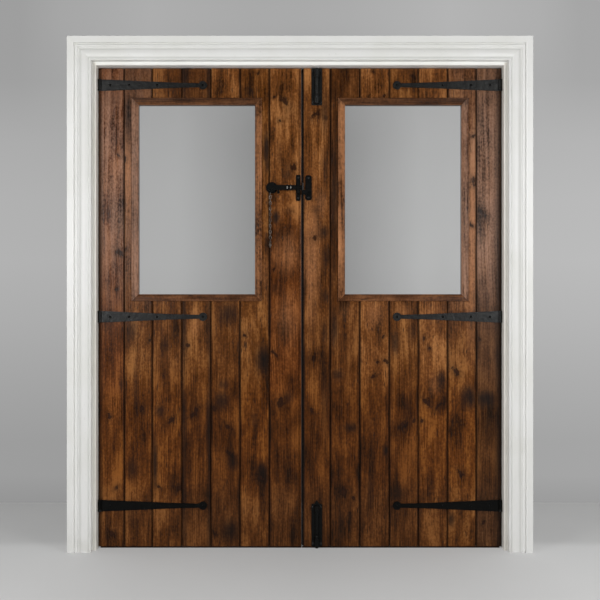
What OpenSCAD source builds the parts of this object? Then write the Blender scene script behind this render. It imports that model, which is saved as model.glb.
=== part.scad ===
// Pair of ledged and braced plank doors on strap hinges, hung in a moulded and painted frame.
// Millimetres, +Z up. The front faces -Y, the floor is at Z = 0, and X = 0 is the middle of the doorway.

/* [Doorway] */
// Clear width between the two jambs
opening_w = 1686; // [1600:1:1800]
// Clear height from the floor to the underside of the head
opening_h = 2005; // [1990:1:2150]
// Depth from the front edge of the lining to the face of the planks
reveal_d = 42; // [36:1:55]
// Running gap at the hinge edges and under the head
edge_gap = 3; // [2:0.5:5]
// Gap between the leaves and the floor
floor_gap = 7; // [4:1:12]
// Width of the open joint between the two leaves
meeting_gap = 6; // [4:0.5:8]
// Distance of that joint to the right of the middle of the doorway
meeting_x = 10; // [0:1:20]

/* [Frame] */
// Thickness of the lining boards
jamb_t = 32; // [28:1:40]
// Depth of the lining through the wall
lining_d = 114; // [108:1:150]
// Depth of the rebate in the head that takes the top of each jamb
housing_d = 10; // [6:1:14]
// Width of the architrave
architrave_w = 97; // [85:1:110]
// Thickness of the architrave at its outer edge
architrave_t = 38; // [32:1:44]
// Edge of the lining left showing inside the architrave
architrave_margin = 14; // [6:1:18]
// Thickness of the stops
stop_t = 12; // [10:1:16]
// Width of the stops, front to back
stop_d = 32; // [24:1:40]
// Gap between the back of the planks and the stops
stop_gap = 2; // [1.5:0.5:4]

/* [Planks] */
// Thickness of the planks
plank_t = 22; // [20:1:26]
// Open joint between neighbouring planks
joint_w = 1.5; // [1:0.5:2.5]
// Width of the chamfer at each side of a joint
chamfer_w = 3; // [2:0.5:5]
// Thickness of the tongues
tongue_t = 6; // [5:0.5:8]
// Length of a tongue inside its groove
tongue_bite = 6; // [4:0.5:8]
// Fit of a tongue in its groove
tongue_fit = 0.3; // [0.2:0.1:0.6]
// Width of the round bead along the meeting edge of the left leaf
edge_bead_w = 10; // [8:0.5:14]
// Width of the sunk line beside that bead
quirk_w = 3; // [2:0.5:4]
// Depth from the face to the closing lip of the right leaf
lip_depth = 13; // [11:0.5:15]
// Gap between the closing lip and the left leaf
lip_gap = 1; // [0.9:0.1:2]
// Height of the notch in the closing lip that lets the latch bar pass
lip_notch_h = 46; // [44:1:80]

/* [Ledges and braces] */
// Width of the ledges
ledge_w = 96; // [80:1:110]
// Thickness of the ledges and braces
ledge_t = 22; // [18:1:26]
// Chamfer along the back edges of the ledges
ledge_chamfer = 5; // [3:0.5:8]
// Distance of the ends of the ledges from the edges of the leaf
ledge_inset = 28; // [24:1:40]
// Width of a brace where it meets a ledge
brace_run = 118; // [90:1:140]

/* [Windows] */
// Distance from the hinge edge of a leaf to the glazing bead
hinge_margin = 137.25; // [120:0.25:160]
// Distance from the latch's round plate to the glazing bead
latch_margin = 16.75; // [12:0.25:28]
// Gap between the top ledge and the glazing bead
head_margin = 5; // [3:0.5:8]
// Gap between the middle ledge and the glazing bead
sill_margin = 17; // [10:0.5:24]
// Width of the glazing bead
bead_w = 29; // [26:1:32]
// Height of the glazing bead above the planks
bead_t = 7; // [5:0.5:10]
// How far the glazing bead laps over the planks
bead_lap = 15; // [12:0.5:16]
// Width of the sloping inner margin of the glazing bead
bead_slope_w = 9; // [6:0.5:11]
// Thickness of the glass
glass_t = 4; // [4:0.5:6]
// Clearance round the glass and the legs of the beads
glass_fit = 0.5; // [0.3:0.1:1]

/* [Strap hinges] */
// Distance of the top straps below the top of the leaf
top_strap_drop = 71; // [62:1:80]
// Height of the middle straps above the floor
middle_strap_z = 965; // [955:1:970]
// Height of the bottom straps above the floor
bottom_strap_z = 177; // [150:1:260]
// Length of a strap from its pin to its tip, as a share of half the doorway
strap_share = 0.5333; // [0.48:0.0001:0.54]
// Height of a strap at its eye
strap_h = 48; // [40:1:56]
// Thickness of the straps
strap_t = 5; // [4:0.5:6]
// Radius of the round end of a strap
penny_r = 17.5; // [15:0.5:20]
// Outer radius of the rolled eye
eye_r = 7; // [6.5:0.5:8.5]
// Radius of the hinge pin
pin_r = 4; // [3:0.5:4.5]
// Clearance between pin and eye, all round
pin_fit = 0.05; // [0.02:0.01:0.1]
// Length of the pin above the eye
pin_tip = 1; // [0.5:0.5:5]
// Height of the collar under the eye
collar_h = 8; // [7.5:0.5:11]
// Radius of the shank that goes into the jamb
shank_r = 3.5; // [2.5:0.5:3.5]
// Length of the shank inside the jamb
shank_l = 24; // [18:1:26]
// Clearance of the shank in its hole, all round
shank_fit = 0.1; // [0.05:0.05:0.2]
// Radius of the nail heads
nail_head_r = 5; // [4:0.5:6.5]
// Height of the nail heads
nail_head_h = 2.5; // [2:0.5:3.5]
// Radius of the nail shanks
nail_r = 2.4; // [2:0.1:3]
// Length of the nail shanks under the head
nail_l = 43; // [36:1:46]

/* [Latch] */
// Height of the latch above the floor
latch_z = 1503; // [1400:1:1560]
// Distance of the pivot from the meeting edge of the left leaf
latch_pivot_d = 125; // [110:1:138]
// Radius of the round plate behind the pivot
rose_r = 24; // [20:0.5:28]
// Thickness of the iron plates
plate_t = 4; // [3:0.5:5]
// Radius of the pivot pin
latch_pin_r = 4; // [3:0.5:5]
// Radius of the boss on the latch bar
boss_r = 17; // [14:0.5:17]
// Height of the latch bar at its boss
bar_root_h = 23; // [18:0.5:26]
// Height of the latch bar at its tip
bar_tip_h = 19; // [14:0.5:20]
// Thickness of the latch bar
bar_t = 8; // [6:0.5:9]
// Distance from the planks to the back of the latch bar
bar_back = 9.5; // [9.5:0.5:11]
// How far the tip reaches past the meeting edge of the left leaf
bar_reach = 5; // [3:0.5:5]
// Width of the guide staple's plate
staple_w = 19; // [15:0.5:22]
// Height of the guide staple's plate
staple_h = 109; // [95:1:120]
// Distance of the guide staple's plate from the meeting edge
staple_inset = 5; // [4.5:0.5:8]
// Height of the slot in the guide staple
slot_h = 42; // [41:0.5:46]
// Width of the keep's plate
keep_w = 27; // [24:0.5:32]
// Height of the keep's plate
keep_h = 105; // [90:1:120]
// Distance of the keep's plate from the meeting edge of the right leaf
keep_inset = 9; // [9:0.5:12]
// How far the keep's lip reaches past that edge
keep_reach = 5.5; // [4:0.5:5.5]
// Height of the keep's lip
lip_h = 19; // [16:0.5:22]
// Gap between the resting latch bar and the top of the lip
lift_gap = 2; // [1.5:0.5:3]

/* [Pull chain] */
// Number of links
link_count = 17; // [8:1:19]
// Radius of the wire
wire_r = 1.3; // [1.1:0.1:1.4]
// Inner length of a link
link_l = 12.2; // [11:0.1:14]
// Inner width of a link
link_w = 5.2; // [5:0.1:6]
// Slack between neighbouring links
link_slack = 0.2; // [0.1:0.05:0.4]
// Radius of the drop at the end
drop_r = 6; // [5:0.5:8]

/* [Bolts] */
// Distance of the bolts from the meeting edge of the right leaf
bolt_d = 57; // [50:1:70]
// Width of the bolt plates
bolt_plate_w = 45; // [40:1:52]
// Height of the top bolt's plate
top_plate_h = 154; // [145:1:170]
// Height of the bottom bolt's plate
bottom_plate_h = 177; // [165:1:200]
// Height of the pointed top of the bottom bolt's plate
point_h = 15; // [8:0.5:18]
// Radius of the bolt rods
rod_r = 7; // [6:0.5:7.5]
// Clearance of a rod in its guides, all round
rod_fit = 0.06; // [0.03:0.01:0.1]
// Wall of the guides round a rod
guide_wall = 3.5; // [3:0.5:5]
// Height of the guides
guide_h = 24; // [18:1:28]
// Radius of the knobs
knob_r = 7.5; // [6:0.5:9]
// Length of the knobs' stems in front of the rod
knob_stem_l = 6; // [4:0.5:9]
// Travel of the top bolt
top_travel = 22; // [16:1:24]
// Gap between the bottom bolt and the floor
bolt_floor_gap = 1.5; // [1:0.5:3]
// Width of the square mortise that the top bolt goes into
mortise_w = 18; // [17:0.5:20]

/* [Hidden] */
$fn = 48;

// Names of the two leaves and of the three heights of the hinges
SIDES = ["left", "right"];
LEVELS = ["top", "middle", "bottom"];

// Overrun of a cut past the faces it opens
overrun = 1;
// Clearance between a leaf's forged pieces and the frame
iron_gap = 0.5;
// Clearance between forged faces that pass each other
face_gap = 0.3;
// Hairline at each mitre, measured along the inner edge
mitre_gap = 0.2;

// Main planes of the frame and of the leaves
half_w = opening_w / 2;
lining_y = architrave_t - (architrave_t + lining_d) / 2;
face_y = lining_y + reveal_d;
stop_y = face_y + plank_t + stop_gap;
hinge_edge = half_w - edge_gap;
leaf_top = opening_h - edge_gap;
left_edge = meeting_x - meeting_gap / 2;
right_edge = meeting_x + meeting_gap / 2;

// Widths of the planks from the hinge edge to the meeting edge, as shares of the leaf
left_plank_shares = [0.125, 0.138, 0.146, 0.143, 0.144, 0.1445, 0.1595];
right_plank_shares = [0.126, 0.145, 0.1475, 0.146, 0.149, 0.149, 0.1375];

// Architrave moulding, from its inner edge outwards
inner_bead_share = 0.09;
hollow_share = 0.115;
ogee_share = 0.36;
torus_share = 0.135;
quirk_share = 0.15;
fillet_share = 0.28;
moulding_base_share = 0.763;
ogee_rise_share = 0.116;
inner_bead_rise_share = 0.0737;

// Taper of a strap: place along it, and half its height there
strap_taper_shares = [[0.01, 0.5], [0.33, 0.375], [0.62, 0.25], [0.93, 0.165]];
// Places of the nails along a strap, apart from the one in its round end
nail_place_shares = [0.097, 0.273, 0.535];

// Clear opening of a window: X from the hinge edge of the leaf, Z from the floor
top_strap_z = leaf_top - top_strap_drop;
window_x0 = hinge_margin + bead_w;
window_x1 = hinge_edge + left_edge - latch_pivot_d - rose_r - latch_margin - bead_w;
window_w = window_x1 - window_x0;
window_mid = (window_x0 + window_x1) / 2;
window_z = middle_strap_z + ledge_w / 2 + sill_margin + bead_w;
window_h = top_strap_z - ledge_w / 2 - head_margin - bead_w - window_z;

// Glazing
bead_in = bead_w - bead_lap;
glass_y = (plank_t - glass_t) / 2;
bead_edge_share = 0.2;

// Straps, and hinge pins measured from the hinge edge and the face of the leaf
strap_len = hinge_edge * strap_share;
pin_x = eye_r + iron_gap - edge_gap;
pin_y = -eye_r - face_gap;

// Latch bar: its tail, its thumb nib and its two rings, from the pivot
bar_front = bar_back + bar_t;
bar_mid = bar_back + bar_t / 2;
bar_len = latch_pivot_d + bar_reach;
keep_top = -bar_tip_h / 2 - lift_gap;
tail_x = -6;
tail_z = -20;
tail_w = 9;
tail_t = 4;
tail_eye_r = 6.5;
tail_hole_r = 3;
nib_x = 28;
nib_z = -20;
nib_r = 5.5;
ring_w = 5;
ring_proud = 2;
ring_place_shares = [0.5, 0.61];
plate_corner_r = 5;
keep_corner_r = 10;
loop_w = 12;
loop_wall = 4.5;
pin_head_r = 7;
pin_head_h = 3;

// Pull chain
bend_r = link_w / 2 + wire_r;
link_pitch = link_l - link_slack;
hang_share = 0.6;
hang_z = tail_z - tail_hole_r * hang_share;

// Bolts
bolt_x = right_edge + bolt_d;
rod_y = -plate_t - rod_r - iron_gap;
guide_r = rod_r + guide_wall;
top_plate_z = leaf_top - iron_gap - top_plate_h;
bottom_plate_z = floor_gap + face_gap;
guide_inset = 10;
knob_gap = 4;
knob_stem_r = 3.5;
rod_end_r = 4;
mortise_d = top_travel + edge_gap;

function leaf_w(side) = side == "left" ? hinge_edge + left_edge : hinge_edge - right_edge;
function plank_shares(side) = side == "left" ? left_plank_shares : right_plank_shares;
function share_sum(list, n) = n == 0 ? 0 : list[n - 1] + share_sum(list, n - 1);
function strap_z(level) =
    level == "top" ? top_strap_z : level == "middle" ? middle_strap_z : bottom_strap_z;
function nail_places() = concat([for (s = nail_place_shares) s * strap_len], [strap_len - penny_r]);

// Colours
paint = [0.87, 0.87, 0.85];
stain = [0.36, 0.21, 0.11];
bead_stain = [0.42, 0.25, 0.13];
iron = [0.1, 0.1, 0.1];
pane = [0.75, 0.8, 0.8, 0.35];

// Places its children in a leaf: X from the hinge edge, Y from the face of the planks to the back
module in_leaf(side) {
    if (side == "left") translate([-hinge_edge, face_y, 0]) children();
    else mirror([1, 0, 0]) translate([-hinge_edge, face_y, 0]) children();
}

// Draws its children at the left side of the frame, or mirrored to the right
module at_side(side) {
    if (side == "left") children();
    else mirror([1, 0, 0]) children();
}

// Stands a flat outline, drawn in X and Z, with its back at Y = 0 and its thickness towards -Y
module stand(t) {
    rotate([90, 0, 0]) linear_extrude(t) children();
}

module rounded_plate(w, h, r) {
    translate([r, 0]) square([w - 2 * r, h]);
    translate([0, r]) square([w, h - 2 * r]);
    for (x = [r, w - r])
        for (z = [r, h - r])
            translate([x, z]) circle(r);
}

// A bar along X below Z = 0 with both ends mitred, from a section drawn outwards from its inner edge
module mitred_bar(inner_l, w, depth) {
    reach = w + overrun;
    end_x = inner_l / 2 - mitre_gap;
    intersection() {
        translate([-inner_l / 2 - w, 0, 0])
            rotate([0, 90, 0]) linear_extrude(inner_l + 2 * w) children();
        translate([0, depth, 0])
            stand(2 * depth)
                polygon([
                    [overrun - end_x, overrun], [end_x - overrun, overrun],
                    [end_x + reach, -reach], [-end_x - reach, -reach]
                ]);
    }
}

// Frame

module jamb(side) {
    color(paint) at_side(side)
        difference() {
            translate([-half_w - jamb_t, lining_y, 0]) cube([jamb_t, lining_d, opening_h + housing_d]);
            for (level = LEVELS)
                in_leaf("left") pintle_place(level)
                    rotate([0, -90, 0])
                        cylinder(r = shank_r + shank_fit, h = pin_x + edge_gap + shank_l + shank_fit);
        }
}

module head_jamb() {
    color(paint)
        difference() {
            translate([-half_w - jamb_t, lining_y, opening_h])
                cube([opening_w + 2 * jamb_t, lining_d, jamb_t]);
            for (side = SIDES)
                at_side(side)
                    translate([-half_w - jamb_t - overrun, lining_y - overrun, opening_h - overrun])
                        cube([jamb_t + overrun, lining_d + 2 * overrun, housing_d + overrun]);
            translate([bolt_x - mortise_w / 2, face_y + rod_y - mortise_w / 2, opening_h - overrun])
                cube([mortise_w, mortise_w, mortise_d + overrun]);
        }
}

module side_stop(side) {
    color(paint) at_side(side)
        translate([-half_w, stop_y, 0]) cube([stop_t, stop_d, opening_h - stop_t]);
}

module head_stop() {
    color(paint)
        translate([-half_w, stop_y, opening_h - stop_t]) cube([opening_w, stop_d, stop_t]);
}

// Section of the architrave: X outwards from its inner edge, Y = 0 at its back
module architrave_section() {
    base_t = architrave_t * moulding_base_share;
    bead_r = architrave_w * inner_bead_share / 2;
    ogee_w = architrave_w * ogee_share;
    ogee_x = architrave_w * hollow_share;
    rise = architrave_t * ogee_rise_share;
    ogee_r = (ogee_w * ogee_w / 4 + rise * rise) / (2 * rise);
    torus_r = architrave_w * torus_share / 2;
    fillet_w = architrave_w * fillet_share;
    translate([0, -base_t]) square([architrave_w, base_t]);
    translate([bead_r + face_gap, -base_t - architrave_t * inner_bead_rise_share + bead_r]) circle(bead_r);
    intersection() {
        translate([ogee_x, -architrave_t]) square([ogee_w, architrave_t]);
        translate([ogee_x + ogee_w / 2, ogee_r - base_t - rise]) circle(ogee_r);
    }
    translate([architrave_w - fillet_w * (1 + quirk_share) - torus_r, -base_t]) circle(torus_r);
    translate([architrave_w - fillet_w, -architrave_t]) square([fillet_w, architrave_t]);
}

module side_architrave(side) {
    inner_h = opening_h + architrave_margin;
    color(paint) at_side(side)
        mirror([1, 0, 0]) translate([half_w + architrave_margin, lining_y, 0])
            intersection() {
                linear_extrude(inner_h + architrave_w) architrave_section();
                translate([0, overrun, 0])
                    stand(architrave_t + 2 * overrun)
                        polygon([
                            [-overrun, -overrun], [architrave_w + overrun, -overrun],
                            [architrave_w + overrun, inner_h + architrave_w + overrun],
                            [-overrun, inner_h - overrun]
                        ]);
            }
}

module head_architrave() {
    color(paint)
        translate([0, lining_y, opening_h + architrave_margin])
            rotate([0, 180, 0])
                mitred_bar(opening_w + 2 * architrave_margin, architrave_w, architrave_t + overrun)
                    architrave_section();
}

// Puts its children at the foot of a hinge pin, at mid-height of the collar
module pintle_place(level) {
    translate([pin_x, pin_y, strap_z(level) - strap_h / 2 + collar_h / 2]) children();
}

module pintles(side) {
    color(iron) in_leaf(side)
        for (level = LEVELS)
            pintle_place(level) {
                cylinder(r = eye_r - face_gap, h = collar_h, center = true);
                cylinder(r = pin_r, h = strap_h - collar_h / 2 + pin_tip);
                rotate([0, -90, 0]) cylinder(r = shank_r, h = pin_x + edge_gap + shank_l);
            }
}

// Leaves

module joint_chamfer(x) {
    translate([x, 0]) rotate(45) square(chamfer_w * sqrt(2), center = true);
}

// What is cut away to leave a round bead and a sunk line along a meeting edge at x
module edge_bead_cut(x) {
    bead_r = edge_bead_w / 2;
    difference() {
        translate([x - edge_bead_w - quirk_w, -overrun])
            square([edge_bead_w + quirk_w + overrun, bead_r + overrun]);
        translate([x - bead_r, bead_r]) circle(bead_r);
    }
}

// Section of a plank between two joints: Y = 0 at its face, its tongue towards the meeting edge
module plank_section(side, i) {
    shares = plank_shares(side);
    first = i == 1;
    last = i == len(shares);
    x0 = leaf_w(side) * share_sum(shares, i - 1) + (first ? 0 : joint_w / 2);
    x1 = leaf_w(side) * share_sum(shares, i) - (last ? 0 : joint_w / 2);
    tongue_y = (plank_t - tongue_t) / 2;
    difference() {
        translate([x0, 0]) square([x1 - x0, plank_t]);
        if (!first) {
            joint_chamfer(x0);
            translate([x0 - overrun, tongue_y - tongue_fit])
                square([tongue_bite + tongue_fit + overrun, tongue_t + 2 * tongue_fit]);
        }
        if (!last) joint_chamfer(x1);
        if (last && side == "left") edge_bead_cut(x1);
    }
    if (!last)
        translate([x1 - overrun, tongue_y]) square([tongue_bite + joint_w + overrun, tongue_t]);
    if (last && side == "right")
        translate([x1 - overrun, lip_depth])
            square([meeting_gap - lip_gap + overrun, plank_t - lip_depth]);
}

// Bores for the nails of one strap at Z = 0, through plank and ledge
module nail_bores() {
    for (x = nail_places())
        translate([pin_x + x, -strap_t - overrun, 0])
            rotate([-90, 0, 0]) cylinder(r = nail_r + shank_fit, h = nail_l + 2 * overrun);
}

module window_hole() {
    translate([window_mid - window_w / 2 - bead_in, -overrun, window_z - bead_in])
        cube([window_w + 2 * bead_in, plank_t + 2 * overrun, window_h + 2 * bead_in]);
}

module lip_notch() {
    translate([leaf_w("right"), lip_depth - overrun, latch_z - lip_notch_h / 2])
        cube([meeting_gap, plank_t, lip_notch_h]);
}

module plank(side, i) {
    color(stain) in_leaf(side)
        difference() {
            translate([0, 0, floor_gap]) linear_extrude(leaf_top - floor_gap) plank_section(side, i);
            window_hole();
            if (side == "right" && i == len(plank_shares(side))) lip_notch();
            for (level = LEVELS)
                translate([0, 0, strap_z(level)]) nail_bores();
        }
}

module ledge(side, level) {
    l = leaf_w(side) - 2 * ledge_inset;
    color(stain) in_leaf(side)
        difference() {
            translate([ledge_inset, plank_t, strap_z(level)])
                rotate([90, 0, 90]) linear_extrude(l)
                    polygon([
                        [0, -ledge_w / 2], [ledge_t - ledge_chamfer, -ledge_w / 2],
                        [ledge_t, ledge_chamfer - ledge_w / 2], [ledge_t, ledge_w / 2 - ledge_chamfer],
                        [ledge_t - ledge_chamfer, ledge_w / 2], [0, ledge_w / 2]
                    ]);
            translate([0, 0, strap_z(level)]) nail_bores();
        }
}

// Brace from the hinge end of the bottom ledge up to the meeting end of the middle ledge
module brace(side) {
    x0 = 2 * ledge_inset;
    x1 = leaf_w(side) - 2 * ledge_inset;
    z0 = bottom_strap_z + ledge_w / 2;
    z1 = middle_strap_z - ledge_w / 2;
    color(stain) in_leaf(side)
        translate([0, plank_t + ledge_t - ledge_chamfer, 0])
            stand(ledge_t - ledge_chamfer)
                polygon([[x0, z0], [x0 + brace_run, z0], [x1, z1], [x1 - brace_run, z1]]);
}

// Section of a glazing bead: X outwards from the clear opening, Y = 0 at the face of the planks
module bead_section() {
    rise = bead_t * bead_edge_share;
    polygon([
        [0, glass_y], [bead_in - glass_fit, glass_y], [bead_in - glass_fit, 0], [bead_w, 0],
        [bead_w, rise - bead_t], [bead_w - rise, -bead_t], [bead_slope_w, -bead_t], [0, -rise]
    ]);
}

// Four mitred lengths of bead round the window
module bead_ring() {
    translate([window_mid, 0, window_z + window_h / 2]) {
        for (turn = [0, 180])
            rotate([0, turn, 0]) translate([0, 0, -window_h / 2])
                mitred_bar(window_w, bead_w, plank_t) bead_section();
        for (turn = [90, 270])
            rotate([0, turn, 0]) translate([0, 0, -window_w / 2])
                mitred_bar(window_h, bead_w, plank_t) bead_section();
    }
}

module front_bead(side) {
    color(bead_stain) in_leaf(side) bead_ring();
}

module back_bead(side) {
    color(bead_stain) in_leaf(side) translate([0, plank_t, 0]) mirror([0, 1, 0]) bead_ring();
}

module glass(side) {
    inset = bead_in - glass_fit;
    color(pane) in_leaf(side)
        translate([window_mid - window_w / 2 - inset, glass_y, window_z - inset])
            cube([window_w + 2 * inset, glass_t, window_h + 2 * inset]);
}

// Outline of a strap from its pin to its round end, in X and Z
module strap_outline() {
    upper = [for (s = strap_taper_shares) [s[0] * strap_len, s[1] * strap_h]];
    lower = [for (k = [len(upper) - 1 : -1 : 0]) [upper[k][0], -upper[k][1]]];
    polygon(concat(upper, lower));
    translate([strap_len - penny_r, 0]) circle(penny_r);
}

// A strap whose eye stops short of its lower edge, where the collar sits; those of the right leaf are turned over
module strap(side, level) {
    up = side == "left" ? 1 : -1;
    seat_h = collar_h + face_gap;
    color(iron) translate([0, 0, strap_z(level)]) rotate([0, side == "left" ? 0 : 180, 0])
        translate([-hinge_edge, face_y, 0])
            difference() {
                translate([pin_x, 0, 0]) {
                    stand(strap_t) strap_outline();
                    translate([0, pin_y, 0]) cylinder(r = eye_r, h = strap_h, center = true);
                }
                translate([pin_x, pin_y, 0]) {
                    cylinder(r = pin_r + pin_fit, h = strap_h + 2 * overrun, center = true);
                    translate([0, 0, up * (seat_h - overrun - strap_h) / 2])
                        cylinder(r = eye_r + face_gap, h = seat_h + overrun, center = true);
                }
                nail_bores();
            }
}

// A nail with its head towards -Y and the underside of the head at Y = 0
module nail() {
    dome_r = (nail_head_r * nail_head_r + nail_head_h * nail_head_h) / (2 * nail_head_h);
    rotate([90, 0, 0]) rotate_extrude() intersection() {
        translate([0, nail_head_h - dome_r]) circle(dome_r);
        square([nail_head_r + overrun, nail_head_h]);
    }
    rotate([-90, 0, 0]) cylinder(r = nail_r, h = nail_l);
}

module strap_nails(side) {
    color(iron) in_leaf(side)
        for (level = LEVELS)
            for (x = nail_places())
                translate([pin_x + x, -strap_t, strap_z(level)]) nail();
}

// Latch

// Places its children at the pivot of the latch, on the face of the left leaf
module at_latch() {
    translate([left_edge - latch_pivot_d, face_y, latch_z]) children();
}

module latch_rose() {
    color(iron) at_latch()
        stand(plate_t)
            difference() {
                circle(rose_r);
                circle(latch_pin_r + pin_fit);
            }
}

module latch_pin() {
    color(iron) at_latch()
        rotate([90, 0, 0]) {
            cylinder(r = latch_pin_r, h = bar_front + face_gap + pin_head_h);
            translate([0, 0, bar_front + face_gap]) cylinder(r = pin_head_r, h = pin_head_h);
        }
}

// Lever that turns on the pivot: an arm to the keep, a thumb nib under it and a tail with an eye
module latch_bar() {
    tail_a = atan2(tail_z, tail_x);
    tail_l = norm([tail_x, tail_z]);
    color(iron) at_latch()
        difference() {
            union() {
                translate([0, -plate_t - face_gap, 0]) stand(bar_front - plate_t - face_gap) circle(boss_r);
                translate([0, -bar_back, 0]) stand(bar_t) {
                    polygon([
                        [0, -bar_root_h / 2], [bar_len, -bar_tip_h / 2],
                        [bar_len, bar_tip_h / 2], [0, bar_root_h / 2]
                    ]);
                    translate([nib_x, nib_z]) circle(nib_r);
                    translate([nib_x - nib_r / 2, nib_z]) square([nib_r, -nib_z]);
                }
                translate([0, tail_t / 2 - bar_mid, 0]) stand(tail_t) {
                    rotate(tail_a) translate([0, -tail_w / 2]) square([tail_l, tail_w]);
                    translate([tail_x, tail_z]) circle(tail_eye_r);
                }
                for (s = ring_place_shares)
                    translate([s * bar_len, -bar_mid, 0])
                        cube([ring_w, bar_t + ring_proud, bar_root_h + ring_proud], center = true);
            }
            rotate([90, 0, 0]) cylinder(r = latch_pin_r + pin_fit, h = bar_front + overrun);
            translate([tail_x, 0, tail_z])
                rotate([90, 0, 0]) cylinder(r = tail_hole_r, h = bar_front + overrun);
        }
}

// Guide that keeps the bar near the leaf: a plate with a loop round the bar
module latch_staple() {
    plate_x = latch_pivot_d - staple_inset - staple_w;
    loop_d = bar_front + 2 * pin_head_h;
    color(iron) at_latch() {
        translate([plate_x, 0, -staple_h / 2])
            stand(plate_t) rounded_plate(staple_w, staple_h, plate_corner_r);
        translate([plate_x + (staple_w - loop_w) / 2, 0, 0])
            difference() {
                translate([0, -loop_d, -slot_h / 2 - loop_wall])
                    cube([loop_w, loop_d, slot_h + 2 * loop_wall]);
                translate([-overrun, loop_wall - loop_d, -slot_h / 2])
                    cube([loop_w + 2 * overrun, loop_d - loop_wall - plate_t, slot_h]);
            }
    }
}

// Keep on the right leaf: a plate with a post and a lip that the bar drops behind
module latch_keep() {
    lip_y = -bar_front - pin_head_h + overrun;
    color(iron) translate([right_edge, face_y, latch_z]) {
        translate([keep_inset, 0, -keep_h / 2])
            stand(plate_t) rounded_plate(keep_w, keep_h, keep_corner_r);
        translate([0, 0, keep_top - lip_h])
            linear_extrude(lip_h) {
                translate([keep_inset, lip_y - loop_wall]) square([2 * loop_wall, loop_wall - lip_y]);
                translate([-keep_reach, lip_y - loop_wall])
                    square([keep_reach + keep_inset + loop_wall, loop_wall]);
            }
    }
}

// Half a turn of wire that closes one end of a link, in X and Z
module link_end() {
    rotate([90, 0, 0]) rotate_extrude(angle = 180) translate([bend_r, 0]) circle(wire_r);
}

// A link round its own middle, in the X-Z plane
module link() {
    straight = link_l - link_w;
    for (turn = [0, 180])
        rotate([0, turn, 0]) {
            translate([0, 0, straight / 2]) link_end();
            translate([bend_r, 0, -straight / 2]) cylinder(r = wire_r, h = straight);
        }
}

// Places its children in the hanging chain, at the inner top end of its first link
module at_chain() {
    at_latch() translate([tail_x, -bar_mid, hang_z]) children();
}

module pull_chain() {
    color(iron) at_chain()
        for (k = [0 : link_count - 1])
            translate([0, 0, -link_l / 2 - k * link_pitch])
                rotate([0, 0, k % 2 == 0 ? 90 : 0]) link();
}

// Turned drop that hangs by a ring from the last link
module chain_drop() {
    color(iron) at_chain()
        translate([0, 0, -link_count * link_pitch - link_w / 2])
            rotate([0, 0, link_count % 2 == 0 ? 90 : 0]) {
                rotate([90, 0, 0]) rotate_extrude() translate([bend_r, 0]) circle(wire_r);
                translate([0, 0, -bend_r - drop_r]) sphere(drop_r);
                translate([0, 0, -bend_r - 3 * drop_r])
                    cylinder(r1 = wire_r, r2 = drop_r * cos(30), h = 1.5 * drop_r);
            }
}

// Bolts

// Places its children on the bolts' line, on the face of the right leaf
module at_bolt(z) {
    translate([bolt_x, face_y, z]) children();
}

// Guide that wraps a rod, standing on its lower edge
module rod_guide() {
    linear_extrude(guide_h)
        difference() {
            union() {
                translate([0, rod_y]) circle(guide_r);
                translate([-guide_r, rod_y]) square([2 * guide_r, -rod_y - plate_t + face_gap]);
            }
            translate([0, rod_y]) circle(rod_r + rod_fit);
        }
}

// Rod with rounded ends and a turned knob, standing on Z = 0
module bolt_rod(l, knob_z) {
    translate([0, rod_y, 0]) {
        rotate_extrude() {
            translate([0, rod_end_r]) square([rod_r, l - 2 * rod_end_r]);
            square([rod_r - rod_end_r, l]);
            for (z = [rod_end_r, l - rod_end_r])
                intersection() {
                    translate([rod_r - rod_end_r, z]) circle(rod_end_r);
                    square([rod_r + overrun, l]);
                }
        }
        translate([0, 0, knob_z]) rotate([90, 0, 0]) {
            cylinder(r = knob_stem_r, h = rod_r + knob_stem_l);
            translate([0, 0, rod_r + knob_stem_l + knob_r / 2]) sphere(knob_r);
        }
    }
}

module top_bolt_plate() {
    color(iron) at_bolt(top_plate_z) {
        translate([-bolt_plate_w / 2, 0, 0])
            stand(plate_t) rounded_plate(bolt_plate_w, top_plate_h, plate_corner_r);
        for (z = [guide_inset, top_plate_h - guide_inset - guide_h])
            translate([0, 0, z]) rod_guide();
    }
}

module top_bolt_rod() {
    color(iron) at_bolt(top_plate_z + guide_inset / 2)
        bolt_rod(top_plate_h - guide_inset / 2 - iron_gap, guide_inset / 2 + guide_h + knob_r + knob_gap);
}

module bottom_bolt_plate() {
    color(iron) at_bolt(bottom_plate_z) {
        stand(plate_t) {
            translate([-bolt_plate_w / 2, 0]) rounded_plate(bolt_plate_w, bottom_plate_h, plate_corner_r);
            polygon([
                [-bolt_plate_w / 4, bottom_plate_h - overrun], [bolt_plate_w / 4, bottom_plate_h - overrun],
                [0, bottom_plate_h + point_h]
            ]);
        }
        for (z = [guide_inset, bottom_plate_h - guide_inset - guide_h])
            translate([0, 0, z]) rod_guide();
    }
}

module bottom_bolt_rod() {
    low = bottom_plate_z - bolt_floor_gap;
    color(iron) at_bolt(bolt_floor_gap)
        bolt_rod(low + bottom_plate_h - guide_inset / 2, low + guide_inset + guide_h + knob_r + knob_gap);
}

head_jamb();
head_stop();
head_architrave();
for (side = SIDES) {
    jamb(side);
    side_stop(side);
    side_architrave(side);
    pintles(side);
    brace(side);
    strap_nails(side);
    front_bead(side);
    back_bead(side);
    glass(side);
    for (i = [1 : len(plank_shares(side))])
        plank(side, i);
    for (level = LEVELS) {
        ledge(side, level);
        strap(side, level);
    }
}
latch_rose();
latch_pin();
latch_bar();
latch_staple();
latch_keep();
pull_chain();
chain_drop();
top_bolt_plate();
top_bolt_rod();
bottom_bolt_plate();
bottom_bolt_rod();
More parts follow.
